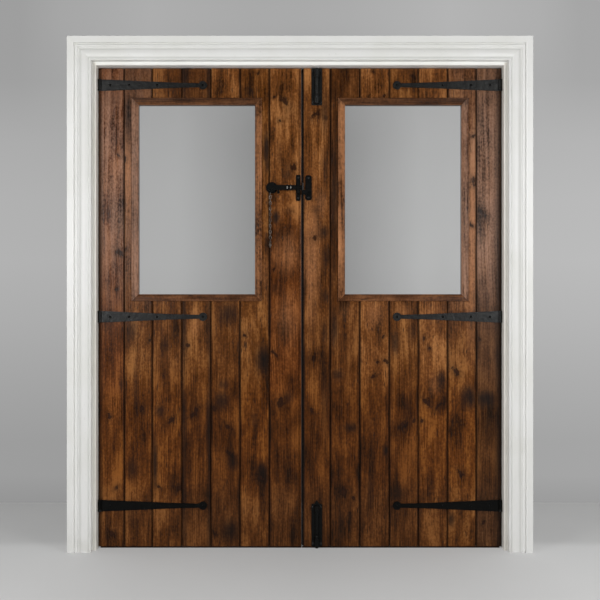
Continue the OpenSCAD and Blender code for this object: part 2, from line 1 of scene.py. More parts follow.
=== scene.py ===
"""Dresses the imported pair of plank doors: stained pine, white paint, black iron, glass and a grey studio.

Lengths are metres in the shared frame: +Z is up, the front faces -Y, and X = 0 is the middle of the doorway.
"""

import logging
import math
from collections.abc import Mapping
from dataclasses import dataclass, replace
from enum import Enum, StrEnum
from typing import Any, Optional, Union

import bmesh
import bpy
import numpy as np
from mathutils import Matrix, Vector


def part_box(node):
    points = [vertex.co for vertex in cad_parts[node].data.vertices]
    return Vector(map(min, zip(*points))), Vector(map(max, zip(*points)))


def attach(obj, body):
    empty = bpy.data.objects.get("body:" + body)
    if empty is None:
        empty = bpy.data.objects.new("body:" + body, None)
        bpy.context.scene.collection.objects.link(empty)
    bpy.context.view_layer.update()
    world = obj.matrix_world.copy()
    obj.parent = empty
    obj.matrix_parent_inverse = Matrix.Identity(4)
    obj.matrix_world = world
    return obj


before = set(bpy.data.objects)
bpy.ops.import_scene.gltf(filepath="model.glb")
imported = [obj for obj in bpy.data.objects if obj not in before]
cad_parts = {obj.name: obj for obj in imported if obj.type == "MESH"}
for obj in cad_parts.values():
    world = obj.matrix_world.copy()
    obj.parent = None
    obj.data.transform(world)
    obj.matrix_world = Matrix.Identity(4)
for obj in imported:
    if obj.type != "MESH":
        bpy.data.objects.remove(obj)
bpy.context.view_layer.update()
PLANK_COUNT = 7
MERGE_DIST = 1e-6

log = logging.getLogger("plank_doors")

Color = tuple[float, float, float]
BLACK: Color = (0.0, 0.0, 0.0)
WHITE: Color = (1.0, 1.0, 1.0)
Operand = Union["Value", float]


def tint(red: float, green: float, blue: float) -> Color:
    """Turns a display colour, each part from 0 to 255, into a scene-linear colour.

    Args:
        red: Red part.
        green: Green part.
        blue: Blue part.

    Returns:
        The scene-linear colour.
    """
    display = np.array([red, green, blue]) / 255.0
    linear = np.where(display <= 0.04045, display / 12.92, ((display + 0.055) / 1.055) ** 2.4)
    return tuple(float(part) for part in linear)


class Value:
    """An output of a node; arithmetic on it adds Math nodes."""

    def __init__(self, sheet: "Shader", socket: bpy.types.NodeSocket) -> None:
        """Wraps an output socket of a shader's tree."""
        self.sheet = sheet
        self.socket = socket

    def math(self, operation: str, *operands: Operand) -> "Value":
        """Adds one Math node.

        Args:
            operation: Blender's name of the operation.
            operands: The node's inputs in order.

        Returns:
            The node's result.
        """
        return self.sheet.node("ShaderNodeMath", {"operation": operation}, dict(enumerate(operands)))

    def __add__(self, other: Operand) -> "Value":
        """Adds."""
        return self.math("ADD", self, other)

    def __radd__(self, other: Operand) -> "Value":
        """Adds to a plain number."""
        return self.math("ADD", other, self)

    def __sub__(self, other: Operand) -> "Value":
        """Subtracts."""
        return self.math("SUBTRACT", self, other)

    def __rsub__(self, other: Operand) -> "Value":
        """Subtracts from a plain number."""
        return self.math("SUBTRACT", other, self)

    def __mul__(self, other: Operand) -> "Value":
        """Multiplies."""
        return self.math("MULTIPLY", self, other)

    def __rmul__(self, other: Operand) -> "Value":
        """Multiplies a plain number."""
        return self.math("MULTIPLY", other, self)

    def __abs__(self) -> "Value":
        """Drops the sign."""
        return self.math("ABSOLUTE", self)

    def sin(self) -> "Value":
        """Sine of an angle in radians."""
        return self.math("SINE", self)

    def exp(self) -> "Value":
        """Natural exponential."""
        return self.math("EXPONENT", self)

    def least(self, other: Operand) -> "Value":
        """The smaller of two values."""
        return self.math("MINIMUM", self, other)

    def most(self, other: Operand) -> "Value":
        """The larger of two values."""
        return self.math("MAXIMUM", self, other)

    def above(self, other: Operand) -> "Value":
        """One where this is larger than the other value, and zero elsewhere."""
        return self.math("GREATER_THAN", self, other)

    def swing(self, width: float) -> "Value":
        """Turns noise around 0.5 into noise around zero, times a width."""
        return (self - 0.5) * width

    def rise(self, low: float, high: float) -> "Value":
        """A smooth step from 0 at low to 1 at high.

        Args:
            low: Where the step starts.
            high: Where the step ends.

        Returns:
            The stepped value.
        """
        return self.sheet.node(
            "ShaderNodeMapRange", {"interpolation_type": "SMOOTHSTEP"},
            {"Value": self, "From Min": low, "From Max": high},
        )


class Shader:
    """The node tree of one material, or of the world, with one way to add nodes to it."""

    def __init__(self, name: str, tree: Optional[bpy.types.NodeTree] = None) -> None:
        """Starts a material with a Principled surface and the piece's own coordinates.

        Args:
            name: Name of the material.
            tree: The world's tree, where it is the world that is built.
        """
        self.material = None if tree else bpy.data.materials.new(name)
        if self.material:
            self.material.use_nodes = True
        self.tree = tree or self.material.node_tree
        self.principled = next((n for n in self.tree.nodes if n.type == "BSDF_PRINCIPLED"), None)
        self.outlet = next(n for n in self.tree.nodes if n.type.startswith("OUTPUT"))
        place = self.node("ShaderNodeTexCoord", out="Generated" if tree else "Object")
        self.x, self.y, self.z = (
            self.node("ShaderNodeSeparateXYZ", sockets={"Vector": place}, out=axis) for axis in "XYZ"
        )

    @staticmethod
    def pick(sockets: Any, key: Union[int, str]) -> bpy.types.NodeSocket:
        """Finds a socket by its place, or by its name among those in use."""
        if isinstance(key, int):
            return sockets[key]
        return next(s for s in sockets if s.enabled and s.name == key)

    def feed(self, node: bpy.types.Node, key: Union[int, str], value: Any) -> None:
        """Links a value to an input, or sets the input to a plain number or colour.

        Args:
            node: The node that is fed.
            key: Place or name of its input.
            value: A wrapped output, a number, or a colour.
        """
        socket = self.pick(node.inputs, key)
        if isinstance(value, Value):
            self.tree.links.new(value.socket, socket)
        elif isinstance(value, tuple) and socket.type == "RGBA":
            socket.default_value = (*value, 1.0)
        else:
            socket.default_value = value

    def node(
        self,
        kind: str,
        settings: Optional[Mapping[str, Any]] = None,
        sockets: Optional[Mapping[Union[int, str], Any]] = None,
        out: Union[int, str] = 0,
    ) -> Value:
        """Adds a node of any kind.

        Args:
            kind: Blender's type name of the node.
            settings: Properties that are set first; "stops" fills a colour ramp with (place, colour) pairs.
            sockets: Values or links of the inputs.
            out: Place or name of the output that is handed back.

        Returns:
            The wrapped output.
        """
        node = self.tree.nodes.new(kind)
        for key, setting in (settings or {}).items():
            if key == "stops":
                ramp = node.color_ramp.elements
                while len(ramp) < len(setting):
                    ramp.new(1.0)
                for stop, (place, color) in zip(ramp, setting):
                    stop.position = place
                    stop.color = (*color, 1.0)
            else:
                setattr(node, key, setting)
        for key, value in (sockets or {}).items():
            self.feed(node, key, value)
        return Value(self, self.pick(node.outputs, out))

    def noise(self, x: Operand, y: Operand, z: Operand, detail: float = 2.0) -> Value:
        """Soft noise around 0.5 at a scaled place.

        Args:
            x: First coordinate, in noise cells.
            y: Second coordinate, in noise cells.
            z: Third coordinate, in noise cells.
            detail: Number of finer layers.

        Returns:
            The noise value.
        """
        place = self.node("ShaderNodeCombineXYZ", sockets={0: x, 1: y, 2: z})
        return self.node("ShaderNodeTexNoise", sockets={"Vector": place, "Scale": 1.0, "Detail": detail})

    def patches(self, cells: float, detail: float = 2.0) -> Value:
        """Soft noise around 0.5 with as many cells a metre in each direction."""
        return self.noise(self.x * cells, self.y * cells, self.z * cells, detail)

    def mix(self, share: Operand, first: Any, second: Any, mode: str = "MIX") -> Value:
        """Mixes two colours.

        Args:
            share: Share of the second colour.
            first: First colour.
            second: Second colour.
            mode: Blender's name of the way of mixing.

        Returns:
            The mixed colour.
        """
        settings = {"data_type": "RGBA", "blend_type": mode, "clamp_factor": True}
        return self.node("ShaderNodeMix", settings, {"Factor": share, "A": first, "B": second}, "Result")

    def ramp(self, value: Value, *stops: tuple[float, Color]) -> Value:
        """Colours a value by a ramp of (place, colour) stops."""
        return self.node("ShaderNodeValToRGB", {"stops": stops}, {"Fac": value}, "Color")

    def greys(self, value: Value, stops: tuple[tuple[float, float], ...]) -> Value:
        """Colours a value by a ramp of (place, display grey) stops."""
        return self.ramp(value, *((place, tint(grey, grey, grey)) for place, grey in stops))

    def relief(self, height: Value, depth: float, strength: float = 1.0) -> Value:
        """Turns a height from 0 to 1 into a bumped normal.

        Args:
            height: The height.
            depth: The real depth of a height of 1.
            strength: Share of the bump that shows.

        Returns:
            The normal.
        """
        sockets = {"Strength": strength, "Distance": depth, "Height": height}
        return self.node("ShaderNodeBump", sockets=sockets)

    def background(self) -> Value:
        """Marks the rays by which a background shows.

        Returns:
            One for straight and mirrored rays and for those through glass, and zero for light.
        """
        kinds = ("Is Camera Ray", "Is Glossy Ray", "Is Transmission Ray")
        straight, mirrored, through = (self.node("ShaderNodeLightPath", out=kind) for kind in kinds)
        return straight.most(mirrored).most(through)

    def surface(self, **inputs: Any) -> bpy.types.Material:
        """Feeds the Principled surface.

        Args:
            inputs: Its inputs, with underscores for the spaces in their names.

        Returns:
            The finished material.
        """
        for key, value in inputs.items():
            self.feed(self.principled, key.replace("_", " "), value)
        return self.material


class Side(StrEnum):
    """The two sides of the doorway, as the names of nodes and bodies give them."""

    LEFT = "left"
    RIGHT = "right"


class Level(StrEnum):
    """The heights of the straps and ledges, as the names of nodes give them."""

    TOP = "top"
    MIDDLE = "middle"
    BOTTOM = "bottom"


class Grain(Enum):
    """The way that the grain of a piece of wood runs."""

    UPRIGHT = "up the door"
    LEVEL = "across the door"
    RING = "along each length of a mitred ring"
    SLANT = "along a brace"


class Tone(Enum):
    """Deep, middle and worn colours of the boards under their stain, as display colours."""

    AMBER = ((46, 26, 11), (108, 63, 27), (166, 111, 62))
    GOLDEN = ((44, 24, 9), (98, 56, 21), (150, 99, 52))
    BROWN = ((40, 22, 9), (88, 49, 18), (136, 87, 44))
    RUSSET = ((42, 21, 8), (90, 47, 16), (138, 82, 39))
    DARK = ((34, 19, 8), (76, 42, 16), (118, 73, 36))
    PLUM = ((34, 21, 12), (74, 45, 24), (112, 75, 46))
    BEAD = ((42, 23, 11), (86, 51, 27), (124, 80, 48))


@dataclass(frozen=True)
class Knot:
    """A knot in a face: its place in the frame and its radius."""

    x: float
    z: float
    radius: float


@dataclass(frozen=True)
class SoftPatch:
    """A soft patch: its place, its half width and half height, and its strength, where 1 is full."""

    x: float
    z: float
    half_w: float
    half_h: float
    depth: float


@dataclass(frozen=True)
class Layer:
    """One layer of noise in a board.

    Attributes:
        cells: Cells a metre across the grain and through the board.
        tall: Cells a metre along the grain.
        detail: Number of finer layers.
        moved: Whether the board's seed shifts the pattern across, through and along the board.
    """

    cells: float
    tall: float
    detail: float
    moved: tuple[bool, bool, bool]


@dataclass(frozen=True)
class Figure:
    """The pattern of one board.

    Attributes:
        fine: Noise of the pores along the grain.
        streak: Noise of the streaks along the grain.
        broad: Noise of the broad figure along the grain.
        cloud: Noise of large soft patches.
        mottle: Noise of small soft patches.
        dirt: Noise of dirt, drawn out up the door.
        fleck: Marks of short dark pores, from 0 to 1.
        rings: Waves of the year rings, from -1 to 1.
        saw: Waves that the saw left across the grain, from -1 to 1.
    """

    fine: Value
    streak: Value
    broad: Value
    cloud: Value
    mottle: Value
    dirt: Value
    fleck: Value
    rings: Value
    saw: Value


@dataclass(frozen=True)
class StainedPine:
    """Pine under a dark stain, waxed and worn, with its own grain, knots and dark patches, some of them
    painted shade.

    Attributes:
        name: Name of the material.
        tones: Its sets of colours; three of them follow each other from the foot over the waist to the head.
        grain: The way the grain runs.
        seed: Shifts the pattern, so that no two boards are alike.
        knots: Knots in the face.
        soft_patches: Dark patches on the face: stain marks, and painted shade where a part lies in shadow.
        worn: Patches that hands and the elements have rubbed lighter.
        edges: Low and high X of the board's face; the face darkens along its margins, and outside them the
            bottom of a joint is painted near black as shade.
        edge_w: Width of the darkened margin.
        painted_sheen: Strength of the pale wash up the board, or on a ring's uprights, painted as sheen of
            the side lights, from 0 to 1.
        sheen: Strength of the wax's reflection.
        slant: Slope of the grain of a brace, rise over run.
        ring: Low X, low Z, high X and high Z of a mitred ring.
    """

    name: str
    tones: tuple[Tone, ...]
    grain: Grain
    seed: float
    knots: tuple[Knot, ...] = ()
    soft_patches: tuple[SoftPatch, ...] = ()
    worn: tuple[SoftPatch, ...] = ()
    edges: Optional[tuple[float, float]] = None
    edge_w: float = 0.008
    painted_sheen: float = 0.0
    sheen: float = 0.10
    slant: float = 0.0
    ring: Optional[tuple[float, float, float, float]] = None

    SEED_STEP = 7.31
    WANDER = Layer(6.0, 1.1, 1.0, (True, False, True))
    FINE = Layer(330.0, 8.0, 3.0, (False, True, False))
    STREAK = Layer(90.0, 2.2, 2.0, (False, True, True))
    BROAD = Layer(26.0, 5.0, 5.0, (True, False, True))
    FLECK = Layer(190.0, 22.0, 1.0, (False, True, True))
    CLOUD = Layer(9.0, 5.0, 4.0, (True, False, True))
    MOTTLE = Layer(140.0, 90.0, 2.0, (False, True, False))
    DIRT = Layer(30.0, 5.0, 2.0, (False, False, True))
    WANDER_W = 0.05
    KNOT_NOISE = (95.0, 60.0)
    KNOT_SHIFT = 31.0
    KNOT_BREAK = 2.6
    RING_PITCH = 0.0075
    SAW_PITCH = 0.0055
    WAVER = 9.0
    RELIEF = 0.0007
    BLACK = tint(17, 13, 11)
    KNOT_HEART = tint(44, 22, 11)
    KNOT_EDGE = tint(19, 11, 7)
    # Pale greyish wash that paints the sheen of the side lights.
    SHEEN_WASH = tint(160, 122, 100)
    # Colour of the worn patches; on the inner uprights of a ring of beads it also paints sheen.
    WORN = tint(178, 121, 80)
    # Near black for the bottoms of the joints: painted shade.
    JOINT_SHADE = tint(6, 3, 2)
    RICH = (1.0, 0.88, 0.58)
    STOPS = (0.14, 0.5, 0.86)
    TONE_CHANGES_Z = ((0.52, 0.82), (1.10, 1.60))
    RICH_FROM_Z, RICH_TO_Z = (0.14, 0.34), (0.55, 0.85)
    BLEACH_FROM_Z, BLEACH_TO_Z = (0.85, 1.35), (1.65, 2.0)
    JOINT_X = (-0.001, 0.0004)

    def axes(self, sheet: Shader) -> tuple[Value, Value]:
        """Coordinates across and along the grain.

        Args:
            sheet: The material's tree.

        Returns:
            The place across the grain and the place along it.
        """
        x, z = sheet.x, sheet.z
        if self.grain is Grain.UPRIGHT:
            return x, z
        if self.grain is Grain.LEVEL:
            return z, x
        if self.grain is Grain.SLANT:
            length = math.hypot(1.0, self.slant)
            return (z - x * self.slant) * (1 / length), (x + z * self.slant) * (1 / length)
        side = self.uprights(sheet)
        return side * x + (1 - side) * (z + self.RING_PITCH), side * z + (1 - side) * (x + self.RING_PITCH)

    def uprights(self, sheet: Shader) -> Value:
        """Marks the two upright lengths of a mitred ring.

        Args:
            sheet: The material's tree.

        Returns:
            One on the upright lengths and zero on the level ones.
        """
        low_x, low_z, high_x, high_z = self.ring
        past_side = abs(sheet.x - (low_x + high_x) / 2) - (high_x - low_x) / 2
        past_end = abs(sheet.z - (low_z + high_z) / 2) - (high_z - low_z) / 2
        return past_side.above(past_end)

    def grown(self, sheet: Shader, across: Value) -> tuple[Value, Optional[Value]]:
        """Parts the grain round the knots, where there are any.

        Each knot spreads the lines near it: the place across the grain is drawn towards the knot's own by a
        bell-shaped share of the distance. The knots themselves lean, and noise breaks up their outlines.

        Args:
            sheet: The material's tree.
            across: The place across straight grain.

        Returns:
            The place across the parted grain, and the squared distance to the nearest knot in radii.
        """
        nearest = None
        if not self.knots:
            return across, nearest
        x, y, z = sheet.x, sheet.y, sheet.z
        cells, tall = self.KNOT_NOISE
        push = sheet.noise(x * cells, y * cells, z * tall).swing(self.KNOT_BREAK)
        lift = sheet.noise(x * cells + self.KNOT_SHIFT, y * cells, z * tall).swing(self.KNOT_BREAK)
        for knot in self.knots:
            aside = x - knot.x
            height = z - knot.z
            spread = (aside * aside + height * height * 0.5) * knot.radius**-2
            across = across - aside * ((spread * -0.35).exp() * 0.6)
            lean = math.sin(knot.x * 97.0 + knot.z * 61.0) * 0.7
            broken = (aside + height * lean) * (1 / knot.radius) + push
            raised = height * (0.8 / knot.radius) + lift
            reach = broken * broken + raised * raised
            nearest = reach if nearest is None else nearest.least(reach)
        return across, nearest

    @staticmethod
    def patched(sheet: Shader, cloud: Value, soft_patches: tuple[SoftPatch, ...]) -> Optional[Value]:
        """Joins soft patches and breaks up their edges.

        Args:
            sheet: The material's tree.
            cloud: Noise that breaks up the edges.
            soft_patches: The patches.

        Returns:
            Their strength from 0 to 1, or None without patches.
        """
        total = None
        for stain in soft_patches:
            aside = (sheet.x - stain.x) * (1 / stain.half_w)
            height = (sheet.z - stain.z) * (1 / stain.half_h)
            patch = ((aside * aside + height * height) * -0.8).exp() * stain.depth
            total = patch if total is None else total.most(patch)
        return None if total is None else (total * (0.35 + cloud * 1.3)).rise(0.06, 0.95)

    def layer(self, sheet: Shader, layer: Layer, across: Value, along: Value) -> Value:
        """Makes one layer of noise.

        Args:
            sheet: The material's tree.
            layer: The layer.
            across: The place across the board.
            along: The place along the board.

        Returns:
            The noise, around 0.5.
        """
        shift = self.seed * self.SEED_STEP
        places = across * layer.cells, sheet.y * layer.cells, along * layer.tall
        moved = (place + shift if move else place for place, move in zip(places, layer.moved))
        return sheet.noise(*moved, layer.detail)

    def figure(self, sheet: Shader, across: Value, along: Value) -> Figure:
        """Draws the pattern of the board.

        Args:
            sheet: The material's tree.
            across: The place across the parted grain.
            along: The place along the grain.

        Returns:
            The pattern.
        """
        grain = across + self.layer(sheet, self.WANDER, across, along) * self.WANDER_W
        drawn = (self.FINE, self.STREAK, self.BROAD, self.FLECK)
        fine, streak, broad, pores = (self.layer(sheet, layer, grain, along) for layer in drawn)
        loose = (self.CLOUD, self.MOTTLE, self.DIRT)
        cloud, mottle, dirt = (self.layer(sheet, layer, sheet.x, sheet.z) for layer in loose)
        rings = (grain * (math.tau / self.RING_PITCH) + broad * self.WAVER).sin()
        saw = (along * (math.tau / self.SAW_PITCH) + cloud * self.WAVER).sin() * cloud.rise(0.45, 0.6)
        return Figure(fine, streak, broad, cloud, mottle, dirt, pores.rise(0.66, 0.76), rings, saw)

    def toned(self, sheet: Shader, wood: Figure) -> Value:
        """Colours the pattern by the tones, one over the other, and deepens the stain above the foot.

        Args:
            sheet: The material's tree.
            wood: The pattern.

        Returns:
            The colour.
        """
        lightness = 0.5 + wood.broad.swing(1.1) + wood.streak.swing(0.5) + wood.fine.swing(0.7)
        lightness = lightness + wood.cloud.swing(1.2) + wood.mottle.swing(0.6)
        lightness = lightness + wood.rings * 0.035 + wood.saw * 0.025
        sets = ([tint(*color) for color in tone.value] for tone in self.tones)
        color, *coats = (sheet.ramp(lightness, *zip(self.STOPS, colors)) for colors in sets)
        for coat, (low, high) in zip(coats, self.TONE_CHANGES_Z):
            color = sheet.mix((sheet.z + wood.cloud.swing(0.4)).rise(low, high), color, coat)
        kept = sheet.z.rise(*self.RICH_FROM_Z) * (1 - sheet.z.rise(*self.RICH_TO_Z))
        return sheet.mix(kept, color, sheet.mix(1.0, color, self.RICH, "MULTIPLY"))

    def sheened_and_worn(self, sheet: Shader, wood: Figure, color: Value) -> Value:
        """Paints the side lights' sheen as a pale wash up a board or on a ring's uprights, and rubs the worn
        patches lighter.

        Args:
            sheet: The material's tree.
            wood: The pattern.
            color: The colour of the stain.

        Returns:
            The colour with its painted sheen and worn patches.
        """
        # Painted sheen: a pale wash where the side lights glance off the upper outer planks and the upright
        # beads.
        if self.painted_sheen:
            if self.ring:
                reach = self.uprights(sheet)
                outer = abs(sheet.x).above(abs(self.ring[0] + self.ring[2]) / 2)
                sheen_color = sheet.mix(outer, self.WORN, self.SHEEN_WASH)
            else:
                reach = sheet.z.rise(*self.BLEACH_FROM_Z) * (1 - sheet.z.rise(*self.BLEACH_TO_Z) * 0.6)
                sheen_color = self.SHEEN_WASH
            wash_noise = 0.5 + wood.streak.swing(2.0) + wood.mottle.swing(1.4) + wood.cloud.swing(2.4)
            color = sheet.mix(reach * wash_noise.most(0.0) * self.painted_sheen, color, sheen_color)
        rubbed = self.patched(sheet, wood.cloud, self.worn)
        if rubbed is not None:
            thin = 0.5 + wood.streak.swing(0.8) + wood.mottle.swing(0.8) + wood.fine.swing(0.4)
            color = sheet.mix(rubbed * thin, color, self.WORN)
        return color

    def darkened(self, sheet: Shader, wood: Figure) -> Value:
        """Marks what is blackened: the pores, the margins of the face, and the dark patches, which are stain
        marks or painted shade.

        Args:
            sheet: The material's tree.
            wood: The pattern.

        Returns:
            The share of black, from 0 to 1.
        """
        dark = wood.fleck * 0.75
        if self.edges:
            low, high = self.edges
            margin = (sheet.x - low).least(high - sheet.x) + wood.dirt.swing(self.edge_w)
            dark = dark.most((1 - margin.rise(0.0, self.edge_w)) * 0.72)
        # Stain marks, and on some pieces painted shade.
        patched_dark = self.patched(sheet, wood.cloud, self.soft_patches)
        return dark if patched_dark is None else dark.most(patched_dark * 0.9)

    def material(self) -> bpy.types.Material:
        """Builds the material.

        Returns:
            The finished material.
        """
        sheet = Shader(self.name)
        across, along = self.axes(sheet)
        across, nearest = self.grown(sheet, across)
        wood = self.figure(sheet, across, along)
        dark = self.darkened(sheet, wood)
        color = sheet.mix(dark, self.sheened_and_worn(sheet, wood, self.toned(sheet, wood)), self.BLACK)
        height = wood.fine * 0.5 + wood.rings * 0.12 + wood.saw * 0.08 - wood.fleck * 0.4
        if nearest is not None:
            ragged = nearest + wood.dirt.swing(1.2) + wood.fine.swing(1.2)
            color = sheet.mix((nearest * -0.3).exp() * 0.55, color, self.KNOT_EDGE)
            heart = sheet.mix(ragged.rise(0.0, 0.5), self.KNOT_HEART, self.KNOT_EDGE)
            core = 1 - ragged.rise(0.2, 1.2)
            color = sheet.mix(core * 0.85, color, heart)
            height = height - core * 0.3
        # Painted shade: outside the face, the tongue in a joint and the closing lip in the meeting joint turn
        # near black.
        if self.edges:
            inside = (sheet.x - self.edges[0]).least(self.edges[1] - sheet.x)
            color = sheet.mix(1 - inside.rise(*self.JOINT_X), color, self.JOINT_SHADE)
        return sheet.surface(
            Base_Color=color,
            Roughness=0.31 + wood.fine.swing(0.25) + wood.cloud.swing(0.25) + dark * 0.10,
            Specular_IOR_Level=self.sheen,
            Normal=sheet.relief(height, self.RELIEF, 0.8),
        )


@dataclass(frozen=True)
class WhitePaint:
    """White satin paint with brush marks along the board, a little dirt, and painted shade and light in a
    moulding's lines and quirks.

    Attributes:
        name: Name of the material.
        grain: The way the brush went.
        clean: Colour of the paint.
        warm: Colour where it has yellowed.
        inner: Distance of a moulding's inner edge from the middle, or its height over a head.
        lines: Places of the fine sunk lines across a moulding, from its inner edge, with their half widths;
            each is bumped and darkened as painted shade.
        lightened: Places, given alike, where the paint in a quirk is lightened as painted light against its
            shade.
    """

    name: str
    grain: Grain
    clean: Color = tint(229, 229, 227)
    warm: Color = tint(221, 221, 216)
    inner: float = 0.0
    lines: tuple[tuple[float, float], ...] = ()
    lightened: tuple[tuple[float, float], ...] = ()

    # The whitest paint lightens a shaded quirk: painted light.
    FRESH = tint(255, 255, 253)
    GRIME = tint(168, 163, 152)
    GROOVE_SHADE = tint(176, 175, 170)
    BRUSH = (620.0, 11.0)
    CLOUD = 5.0
    SPECK = 160.0
    SCUFF_H = 0.22
    GROOVE_SHADE_SHARE = 0.34
    LIFT_SHARE = 0.45
    RELIEF = 0.001

    def material(self) -> bpy.types.Material:
        """Builds the material.

        Returns:
            The finished material.
        """
        sheet = Shader(self.name)
        upright = self.grain is Grain.UPRIGHT
        across, along = (sheet.x, sheet.z) if upright else (sheet.z, sheet.x)
        cells, tall = self.BRUSH
        brush = sheet.noise(across * cells, sheet.y * cells, along * tall)
        cloud = sheet.patches(self.CLOUD, 3.0)
        speck = sheet.patches(self.SPECK, 1.0).rise(0.70, 0.78)
        scuff = (1 - sheet.z.rise(0.0, self.SCUFF_H)) * cloud.rise(0.42, 0.62)
        color = sheet.mix(cloud.rise(0.35, 0.75) * 0.7 + brush * 0.2, self.clean, self.warm)
        color = sheet.mix(speck * 0.18 + scuff * 0.22, color, self.GRIME)
        height = brush * 0.02
        outward = (abs(across) if upright else across) - self.inner
        # Fine lines: bumped grooves whose colour is darkened as painted shade.
        for place, half_w in self.lines:
            groove = 1 - abs(outward - place).rise(0.0, half_w)
            color = sheet.mix(groove * self.GROOVE_SHADE_SHARE, color, self.GROOVE_SHADE)
            height = height - groove
        # Painted light: the paint in a quirk is lightened against the quirk's shade.
        for place, half_w in self.lightened:
            lifted = 1 - abs(outward - place).rise(half_w / 2, half_w)
            color = sheet.mix(lifted * self.LIFT_SHARE, color, self.FRESH)
        roughness = 0.36 + brush.swing(0.2) + cloud * 0.08
        normal = sheet.relief(height, self.RELIEF, 0.5)
        return sheet.surface(Base_Color=color, Roughness=roughness, Normal=normal)


@dataclass(frozen=True)
class BlackIron:
    """Forged iron under black wax: dull, faintly hammered, with a grey-green cast where it is rubbed.

    Attributes:
        name: Name of the material.
        dent: Size of the hammer marks.
        black: Colour of the wax.
        rubbed: Colour where the wax has worn thin.
        gloss: Strength of the reflection.
        glint_x: X places along a bar where painted glints on its rings are drawn in pale steel.
        level: Height of those places.
        metal: Share of bare metal, from 0 to 1.
    """

    name: str
    dent: float = 0.011
    black: Color = tint(12, 12, 11)
    rubbed: Color = tint(34, 35, 33)
    gloss: float = 0.25
    glint_x: tuple[float, ...] = ()
    level: float = 0.0
    metal: float = 0.0

    RUST = tint(26, 18, 13)
    PAINTED_GLINT = tint(150, 148, 142)
    SKIN = 420.0
    CLOUD = 34.0
    BRIGHT_W = 0.0035
    RELIEF = 0.0012

    def material(self) -> bpy.types.Material:
        """Builds the material.

        Returns:
            The finished material.
        """
        sheet = Shader(self.name)
        x, y, z = sheet.x, sheet.y, sheet.z
        cells = 1 / self.dent
        place = sheet.node("ShaderNodeCombineXYZ", sockets={0: x * cells, 1: y * cells, 2: z * cells})
        sockets = {"Vector": place, "Scale": 1.0, "Smoothness": 1.0}
        hammer = sheet.node("ShaderNodeTexVoronoi", {"feature": "SMOOTH_F1"}, sockets)
        skin = sheet.patches(self.SKIN, 3.0)
        cloud = sheet.patches(self.CLOUD, 3.0)
        rubbed = (cloud.rise(0.42, 0.68) * 0.55 + skin.rise(0.5, 0.75) * 0.3).least(1.0)
        color = sheet.mix(rubbed, self.black, self.rubbed)
        color = sheet.mix((cloud * skin).rise(0.33, 0.42) * 0.4, color, self.RUST)
        # Painted glints: pale steel spots where the rings on the latch bar catch the light.
        for ring_x in self.glint_x:
            aside, height = x - ring_x, (z - self.level) * 0.5
            near = 1 - (aside * aside + height * height).rise((self.BRIGHT_W / 2) ** 2, self.BRIGHT_W**2)
            color = sheet.mix(near * (0.35 + skin * 0.6), color, self.PAINTED_GLINT)
        roughness = 0.37 + skin.swing(0.25) - rubbed * 0.06
        height = hammer * 0.7 + skin * 0.3
        return sheet.surface(
            Base_Color=color, Roughness=roughness, Metallic=self.metal, Specular_IOR_Level=self.gloss,
            Normal=sheet.relief(height, self.RELIEF, 0.6),
        )


@dataclass(frozen=True)
class WindowGlass:
    """Clear pane with a thin film of dust and a stronger reflection at low angles.

    Attributes:
        name: Name of the material.
    """

    name: str

    FILM = tint(126, 130, 128)
    SMEAR = (7.0, 5.0)
    IOR = 1.5

    def material(self) -> bpy.types.Material:
        """Builds the material.

        Returns:
            The finished material.
        """
        sheet = Shader(self.name)
        cells, tall = self.SMEAR
        smear = sheet.noise(sheet.x * cells, sheet.y * cells, sheet.z * tall, 3.0)
        glancing = sheet.node("ShaderNodeFresnel", sockets={"IOR": self.IOR})
        film = 0.035 + smear * 0.03 + glancing * 0.85
        return sheet.surface(Base_Color=self.FILM, Roughness=0.03 + smear * 0.04, Alpha=film.least(1.0))


PLANK_TONES: dict[Side, tuple[tuple[Tone, ...], ...]] = {
    Side.LEFT: (
        (Tone.BROWN, Tone.RUSSET, Tone.RUSSET),
        (Tone.BROWN, Tone.GOLDEN, Tone.DARK),
        (Tone.BROWN, Tone.BROWN, Tone.BROWN),
        (Tone.DARK, Tone.GOLDEN, Tone.DARK),
        (Tone.DARK, Tone.BROWN, Tone.AMBER),
        (Tone.BROWN, Tone.GOLDEN, Tone.GOLDEN),
        (Tone.DARK, Tone.RUSSET, Tone.AMBER),
    ),
    Side.RIGHT: (
        (Tone.PLUM, Tone.PLUM, Tone.PLUM),
        (Tone.GOLDEN, Tone.GOLDEN, Tone.GOLDEN),
        (Tone.BROWN, Tone.AMBER, Tone.AMBER),
        (Tone.DARK, Tone.GOLDEN, Tone.GOLDEN),
        (Tone.DARK, Tone.AMBER, Tone.AMBER),
        (Tone.DARK, Tone.BROWN, Tone.DARK),
        (Tone.DARK, Tone.BROWN, Tone.AMBER),
    ),
}

